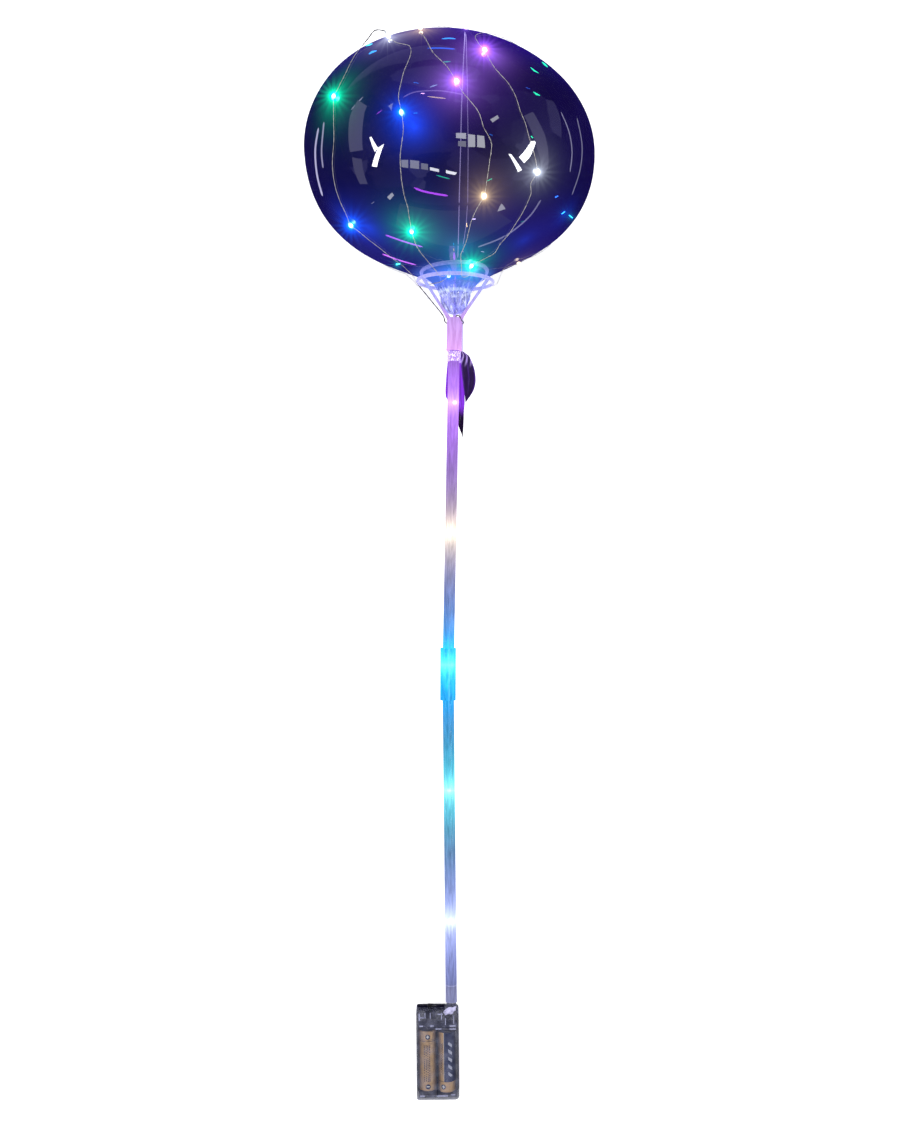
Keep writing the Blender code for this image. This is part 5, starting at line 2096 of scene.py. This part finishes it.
ROOM_TINT = (0.70, 0.68, 1.00)
# Colour of the painted reflections that stand for the wires behind the film.
BACK_WIRE_REFLECTION = (0.60, 0.50, 1.00)
WINDOW_MARKS = (
    Mark(((369.5, 137), (371.5, 137), (378, 148), (375, 152)), 30.0),
    Mark(((384, 144), (378, 148), (372, 166), (377, 167)), 34.0),
    Mark(((508.5, 154), (511, 154), (522, 170), (518, 172)), 30.0),
    Mark(((536, 141), (531, 141), (519, 157), (524, 163), (529, 158)), 34.0),
    Mark(((456, 133), (466, 133), (466, 139), (456, 138)), 7.0),
    Mark(((468, 134), (475, 135), (475, 147), (468, 147)), 7.0),
    Mark(((477, 135), (484, 136), (485, 148), (477, 147)), 7.0),
    Mark(((458, 141), (466, 141), (466, 147), (458, 146)), 3.0),
    Mark(((401, 160), (408, 160), (408, 168), (401, 167)), 4.0),
    Mark(((410, 160), (419, 161), (419, 169), (410, 168)), 4.0),
    Mark(((421, 163), (428, 164), (428, 170), (421, 169)), 3.0),
    Mark(((430, 167), (439, 169), (439, 172), (430, 170)), 14.0),
    Mark(((446, 170), (457, 172.5), (455, 175), (446, 173)), 16.0),
    Mark(((388, 106), (393, 103), (391.5, 111)), 3.0),
    Mark(((490, 119.5), (497.5, 115), (499, 118), (492.5, 122.5)), 6.0),
    Mark(((387, 197), (392, 192.5), (394, 195), (390, 200)), 6.0),
    Mark(((497.5, 211.5), (501.5, 203.5), (505.5, 209)), 5.0),
)
ROOM_MARKS = (
    Mark(((349, 122), (358, 100), (367, 106), (363, 150), (350, 152)), 1.5, ROOM_TINT),
    Mark(((352, 157), (362, 159), (368, 184), (360, 184)), 1.2, ROOM_TINT),
    Mark(((524, 116), (533, 112), (545, 135), (548, 168), (541, 178), (537, 148)), 1.2, ROOM_TINT),
    Mark(((400, 203), (490, 206), (512, 221), (474, 242), (430, 243), (396, 224)), 0.25, (0.60, 0.70, 1.00)),
) + tuple(line_mark(*row) for row in (
    (((318.5, 128), (315.2, 150), (317, 175), (322.5, 196)), 1.7, 6.0, ROOM_TINT),
    (((324, 122), (321.5, 150), (323, 168)), 1.5, 5.0, ROOM_TINT),
    (((561, 112), (569, 132), (572, 152), (570, 172)), 1.0, 4.0, ROOM_TINT),
    (((577, 118), (582, 145), (580, 170), (572, 195)), 1.0, 2.5, ROOM_TINT),
    (((478, 247), (505, 236), (528, 218), (541, 200)), 1.4, 3.5, ROOM_TINT),
    (((351, 110), (363, 97)), 1.2, 5.0, ROOM_TINT),
    (((403, 97.5), (415, 92), (440, 90.8), (462.5, 94.5)), 1.1, 4.0, (0.60, 0.45, 1.00)),
))
LIGHT_MARKS = tuple(line_mark(*row) for row in (
    (((414, 187.5), (421, 190.5), (434, 193.5), (448, 195.8)), 1.9, 16.0, (0.50, 0.07, 1.00)),
    (((385.5, 235), (404, 241.5), (422.5, 247)), 1.4, 14.0, (0.50, 0.08, 1.00)),
    (((382.5, 254), (400, 260.5), (416, 265)), 1.2, 12.0, (0.60, 0.15, 0.90)),
    (((427.5, 48.3), (440, 48.0), (455, 49)), 1.3, 12.0, (0.02, 0.15, 1.00)),
    (((441.8, 38.8), (449, 38.2), (455.5, 38.8)), 1.2, 14.0, (0.02, 0.30, 1.00)),
    (((368.8, 54), (372, 52), (376.5, 50.8)), 1.9, 18.0, (0.02, 0.30, 1.00)),
    (((366, 46), (372.5, 43.8)), 1.4, 10.0, (0.05, 0.60, 0.90)),
    (((530.5, 67.3), (534, 70.5), (538.5, 73)), 1.4, 14.0, (0.02, 0.90, 0.50)),
    (((542, 62), (547.5, 67)), 1.9, 7.0, (0.02, 0.80, 0.45)),
    (((533.5, 92), (536.5, 94.2), (540, 95.5)), 1.9, 18.0, (0.02, 0.90, 0.50)),
    (((526, 87.5), (530, 89)), 1.6, 12.0, (0.02, 0.15, 1.00)),
    (((413.5, 82.3), (418.5, 83.4)), 1.7, 16.0, (0.02, 0.20, 1.00)),
    (((430, 87.2), (437.5, 84.6)), 1.2, 10.0, (0.40, 0.60, 1.00)),
    (((427.5, 96.5), (437, 97.6), (446, 98.5)), 1.0, 10.0, (1.00, 0.72, 0.35)),
    (((443, 62), (450.5, 61.6)), 1.3, 8.0, (0.02, 0.70, 0.55)),
    (((413.8, 113.3), (417.6, 113.1)), 1.4, 14.0, (0.02, 0.40, 1.00)),
    (((376.3, 114.3), (382, 110)), 1.0, 10.0, (0.50, 0.08, 1.00)),
    (((436.3, 175), (443, 177), (450, 178.8)), 1.0, 10.0, (0.02, 0.80, 0.45)),
    (((487.3, 180.8), (491.8, 178.6)), 1.7, 16.0, (0.02, 0.90, 0.55)),
    (((521, 222), (525, 220.8)), 1.0, 8.0, (0.02, 0.70, 0.45)),
    (((489.5, 134), (492.5, 135.5)), 1.6, 12.0, (0.02, 0.20, 1.00)),
    (((453.6, 243), (453.8, 246.5)), 1.6, 12.0, (0.02, 0.40, 1.00)),
    (((453.6, 248.5), (453.8, 251)), 1.7, 10.0, (1.00, 0.60, 0.20)),
    (((454, 252.5), (454.4, 262)), 2.3, 12.0, (0.50, 0.10, 0.95)),
    (((461, 251.5), (463.5, 252)), 1.3, 10.0, (0.85, 0.45, 1.00)),
    (((481, 251.4), (484, 252)), 1.3, 14.0, (0.60, 0.60, 1.00)),
    (((555, 197.5), (558, 196)), 2.6, 48.0, (0.02, 0.15, 1.00)),
    (((561.5, 214), (565, 211.5)), 2.6, 48.0, (0.02, 0.20, 1.00)),
    (((569, 215), (572.5, 218)), 2.3, 35.0, (0.02, 0.45, 1.00)),
    (((531, 136), (533, 138)), 2.2, 29.0, (0.02, 0.90, 0.45)),
    (((472.5, 219), (475.5, 219)), 2.3, 42.0, (0.60, 0.50, 1.00)),
    (((466.3, 222), (467, 227)), 1.8, 32.0, (1.00, 0.72, 0.35)),
    (((396, 264.5), (400.5, 263.5)), 2.6, 42.0, (0.05, 0.80, 0.90)),
    (((421, 93.5), (424.5, 93.5)), 2.2, 35.0, (0.75, 0.40, 1.00)),
    (((371.5, 204), (374, 202)), 0.9, 9.0, (0.80, 0.80, 1.00)),
))
# Painted reflections: bright strips that the film mirrors along the wires behind it, standing for those wires
# seen through the film.
BACK_WIRE_REFLECTIONS = tuple(line_mark(*row) for row in (
    (((465, 32), (462.5, 80), (461, 130), (459.8, 180), (459.2, 203)), 0.9, 6.5, BACK_WIRE_REFLECTION),
    (((459.2, 205), (458.6, 230), (457.8, 258)), 0.8, 6.5, BACK_WIRE_REFLECTION),
    (((466, 34), (467.3, 90), (468, 140), (468, 180), (467.6, 203)), 0.7, 5.0, BACK_WIRE_REFLECTION),
    (((467.4, 205), (466, 225), (463, 246)), 0.7, 5.0, BACK_WIRE_REFLECTION),
))


@dataclass
class Studio:
    """Floor, lights, dim room for the film to reflect, and the camera at the photograph's angle."""

    camera_place: Place = (0.0, 0.4395, 1.030)
    focal_px: float = 1250.0
    photo_height: float = 1124.0
    photo_centre: Pair = (450.0, 562.0)
    sensor: float = 36.0
    room_above: Colour = (0.93, 0.93, 0.95)
    room_below: Colour = (0.010, 0.006, 0.070)
    mirror_radius: float = 5.0
    mirror_stops: tuple = (
        (0.00, (0.00, 0.00, 0.03)), (0.35, (0.010, 0.006, 0.05)), (0.60, (0.035, 0.025, 0.11)),
        (0.80, (0.075, 0.065, 0.19)), (0.95, (0.18, 0.17, 0.36)),
    )
    floor_size: float = 14.0
    card_distance: float = 2.4
    card_share: float = 0.5
    patch_scale: Place = (0.34, 0.5, 0.42)
    mirror_rows: int = 16
    mirror_sides: int = 48
    floor_light: float = 0.52
    floor_drop: float = 0.0002
    horizon: float = 0.03
    lamp_aim: Place = (0.0, 0.1, 0.0)
    lamps: tuple = (
        ("key_light", (-1.3, -0.4, 2.6), 2.4, 26.0), ("fill_light", (1.8, 0.9, 2.2), 2.0, 10.0),
    )
    ring_colour: Colour = (1.3, 1.2, 2.4)
    ring_steps: int = 96
    ring_sides: int = 10
    near_from: float = 204.0
    near_distance: float = 0.035
    marks: tuple[Mark, ...] = WINDOW_MARKS + ROOM_MARKS + LIGHT_MARKS + BACK_WIRE_REFLECTIONS

    def floor(self) -> None:
        """Make the pale floor."""
        data = MeshData()
        half = self.floor_size / 2
        data.add([(-half, -half, 0), (half, -half, 0), (half, half, 0), (-half, half, 0)], [(0, 1, 2, 3)])
        recipe = Recipe("pale_floor")
        cloud = recipe.grain(3.0, 2.0)
        look = recipe.surface(
            Base_Color=recipe.mix(cloud, (0.90, 0.90, 0.90), (0.92, 0.92, 0.92)), Roughness=0.9,
            Emission_Color=(1.0, 1.0, 1.0), Emission_Strength=self.floor_light,
        )
        made = data.made("studio_floor", [look], world=Matrix.Translation((0, 0, -self.floor_drop)))
        made.visible_glossy = False

    def world(self) -> None:
        """Make the surroundings: pale above the floor and dark below it."""
        world = bpy.data.worlds.new("studio_room")
        bpy.context.scene.world = world
        world.use_nodes = True
        tree = world.node_tree
        where = tree.nodes.new("ShaderNodeTexCoord")
        parts = tree.nodes.new("ShaderNodeSeparateXYZ")
        edge = tree.nodes.new("ShaderNodeMapRange")
        edge.inputs["From Min"].default_value = -self.horizon
        edge.inputs["From Max"].default_value = self.horizon
        ramp = tree.nodes.new("ShaderNodeMix")
        ramp.data_type = "RGBA"
        ramp.inputs[6].default_value = (*self.room_below, 1.0)
        ramp.inputs[7].default_value = (*self.room_above, 1.0)
        tree.links.new(where.outputs["Generated"], parts.inputs[0])
        tree.links.new(parts.outputs["Z"], edge.inputs["Value"])
        tree.links.new(edge.outputs[0], ramp.inputs[0])
        tree.links.new(ramp.outputs[2], tree.nodes["Background"].inputs["Color"])

    def soft_light(self, name: str, place: Place, size: float, power: float) -> None:
        """Add a soft square light aimed at the middle of the object.

        Args:
            name: Its name.
            place: Where it hangs in the world.
            size: Its side.
            power: Its power in watts.
        """
        light = bpy.data.lights.new(name, "AREA")
        light.shape = "SQUARE"
        light.size = size
        light.energy = power
        made = bpy.data.objects.new(name, light)
        made.location = place
        way = Vector(self.lamp_aim) - Vector(place)
        made.rotation_euler = way.to_track_quat("-Z", "Y").to_euler()
        made.visible_glossy = False
        bpy.context.scene.collection.objects.link(made)

    def ray(self, pixel: Pair) -> Vector:
        """Find the direction in the world that a pixel of the photograph looks in."""
        across, down = pixel[0] - self.photo_centre[0], pixel[1] - self.photo_centre[1]
        return (LAY.to_3x3() @ Vector((across, -down, -self.focal_px))).normalized()

    def mirrored(self, name: str, data: MeshData, look: bpy.types.Material) -> None:
        """Make a stage piece that shows only as a reflection.

        Args:
            name: Its name.
            data: Its mesh, in the world.
            look: Its material.
        """
        made = data.made(name, [look], world=Matrix.Identity(4))
        for kind in ("camera", "diffuse", "transmission", "shadow", "volume_scatter"):
            setattr(made, "visible_" + kind, False)

    def room(self) -> None:
        """Hang the dim room that glossy pieces reflect: a half sphere with broad uneven patches."""
        recipe = Recipe("mirrored_room")
        sockets = {"Vector": recipe.product(recipe.here(), self.patch_scale), "Scale": 1.0}
        settings = {"distance": "CHEBYCHEV", "feature": "F1"}
        patches = recipe.part(recipe.node("ShaderNodeTexVoronoi", settings, sockets, "Color"), "X")
        shade = recipe.node("ShaderNodeValToRGB", {"stops": self.mirror_stops}, {0: patches}, "Color")
        look = recipe.surface(Base_Color=UNLIT, Emission_Color=shade, Emission_Strength=1.0)
        data, rows = MeshData(), self.mirror_rows
        turns = [math.pi / 2 * row / rows for row in range(rows + 1)]
        radius = self.mirror_radius
        profile = [(radius * math.sin(turn), radius * math.cos(turn)) for turn in turns]
        data.lathe(profile, self.mirror_sides)
        self.mirrored("studio_room_mirrored", data.moved(Matrix.Rotation(math.pi / 2, 4, "X")), look)

    def bright_ring(self) -> None:
        """Lay a bright ring in the cup's own ring, which only the film mirrors."""
        cup = HolderCup()
        steps, data = self.ring_steps, MeshData()
        turns = [math.degrees(math.tau * step / steps) for step in range(steps + 1)]
        loop = [STICK.about(cup.ring_radius, turn, cup.ring_height) for turn in turns]
        data.tube(loop, [cup.ring_bar] * len(loop), self.ring_sides)
        recipe = Recipe("ring_light")
        look = recipe.surface(Base_Color=UNLIT, Emission_Color=self.ring_colour, Emission_Strength=1.0)
        self.mirrored("studio_ring_mirrored", data.moved(LAY), look)

    def reflections(self, film: bpy.types.Object) -> None:
        """Hang bright cards where the film mirrors them at the marks.

        Args:
            film: The balloon.
        """
        self.bright_ring()
        mesh = film.data
        tree = BVHTree.FromObject(film, bpy.context.evaluated_depsgraph_get())
        eye = LAY @ Vector(self.camera_place)
        data: dict[tuple, MeshData] = {}
        for mark in self.marks:
            corners = []
            for pixel in mark.outline:
                way = self.ray(pixel)
                place, _, index, _ = tree.ray_cast(eye, way)
                if place is None:
                    break
                around = [mesh.vertices[corner] for corner in mesh.polygons[index].vertices]
                weights = poly_3d_calc([vert.co for vert in around], place)
                normals = (vert.normal * weight for vert, weight in zip(around, weights))
                normal = sum(normals, Vector()).normalized()
                distance = self.card_distance if pixel[1] < self.near_from else self.near_distance
                corners.append(place + way.reflect(normal) * distance)
            if len(corners) == len(mark.outline):
                cards = data.setdefault((mark.brightness, mark.colour), MeshData())
                cards.add(corners, mark.faces())
        for index, ((brightness, colour), cards) in enumerate(data.items()):
            recipe = Recipe(f"card_light_{index + 1}")
            strength = brightness * self.card_share
            look = recipe.surface(Base_Color=UNLIT, Emission_Color=colour, Emission_Strength=strength)
            self.mirrored(f"studio_card_{index + 1}", cards, look)

    def camera(self) -> None:
        """Set the camera at the photograph's viewing angle."""
        made = bpy.data.cameras.new("photo_camera")
        made.sensor_width = self.sensor
        made.sensor_fit = "AUTO"
        made.lens = self.focal_px * self.sensor / self.photo_height
        made.clip_start = 0.01
        made.clip_end = 60.0
        camera = bpy.data.objects.new("photo_camera", made)
        camera.location = LAY @ Vector(self.camera_place)
        camera.rotation_euler = (TILT, 0.0, 0.0)
        bpy.context.scene.collection.objects.link(camera)
        bpy.context.scene.camera = camera

    def star_glow(self) -> None:
        """Let the lights flare into fine rays and a soft glow, as in the photograph's lens."""
        scene = bpy.context.scene
        scene.view_settings.view_transform = "Standard"
        scene.use_nodes = True
        tree = scene.node_tree
        tree.nodes.clear()
        last = tree.nodes.new("CompositorNodeRLayers").outputs["Image"]
        rays = {
            "Threshold": 2.2, "Strength": 1.0, "Streaks": 16, "Fade": 0.80, "Iterations": 3,
            "Color Modulation": 0.0, "Saturation": 1.3,
        }
        halo = {"Threshold": 2.2, "Strength": 0.7, "Size": 0.35, "Saturation": 1.5}
        for kind, sockets in (("STREAKS", rays), ("BLOOM", halo)):
            glare = tree.nodes.new("CompositorNodeGlare")
            glare.glare_type = kind
            glare.quality = "HIGH"
            for name, value in sockets.items():
                glare.inputs[name].default_value = value
            tree.links.new(last, glare.inputs["Image"])
            last = glare.outputs["Image"]
        tree.links.new(last, tree.nodes.new("CompositorNodeComposite").inputs["Image"])

    def build(self) -> None:
        """Set up the studio but for its reflections."""
        self.camera()
        self.floor()
        self.world()
        self.room()
        for lamp in self.lamps:
            self.soft_light(*lamp)
        self.star_glow()


def main() -> None:
    """Build and dress every piece, and set up the studio."""
    logging.basicConfig(level=logging.INFO, format="%(message)s")
    studio = Studio()
    studio.build()
    string = LightString()
    pieces = [string.build()]
    film = BalloonFilm(string.lights()).build(string)
    pieces += [film, FilmTail().build(), HolderCup().build()]
    gold = SleeveFinish(GOLD, NAVY, (0.03, 0.025, 0.03), False)
    navy = SleeveFinish(NAVY, GOLD, (0.04, 0.03, 0.04), True)
    cells = (
        BatteryCell("cell_left_printed", "cell_left", "cell_gold", LEFT_CELL, 0.0061, 1, gold),
        BatteryCell("cell_right_printed", "cell_right", "cell_navy", RIGHT_CELL, 0.0541, -1, navy),
    )
    pieces += [cell.build() for cell in cells]
    steel = MetalFinish().material("spring_steel")
    pieces.append(CoilSpring("spring_left_coil", "spring_left", LEFT_CELL, 0.00305, 0.00535).build(steel))
    pieces.append(CoilSpring("spring_right_coil", "spring_right", RIGHT_CELL, 0.05645, 0.05485).build(steel))
    pieces += BoxInside().build()
    CarriedNodes().dress()
    studio.reflections(film)
    for piece in pieces:
        log.info("piece %s: %d faces", piece.name, len(piece.data.polygons))


if __name__ == "__main__":
    main()
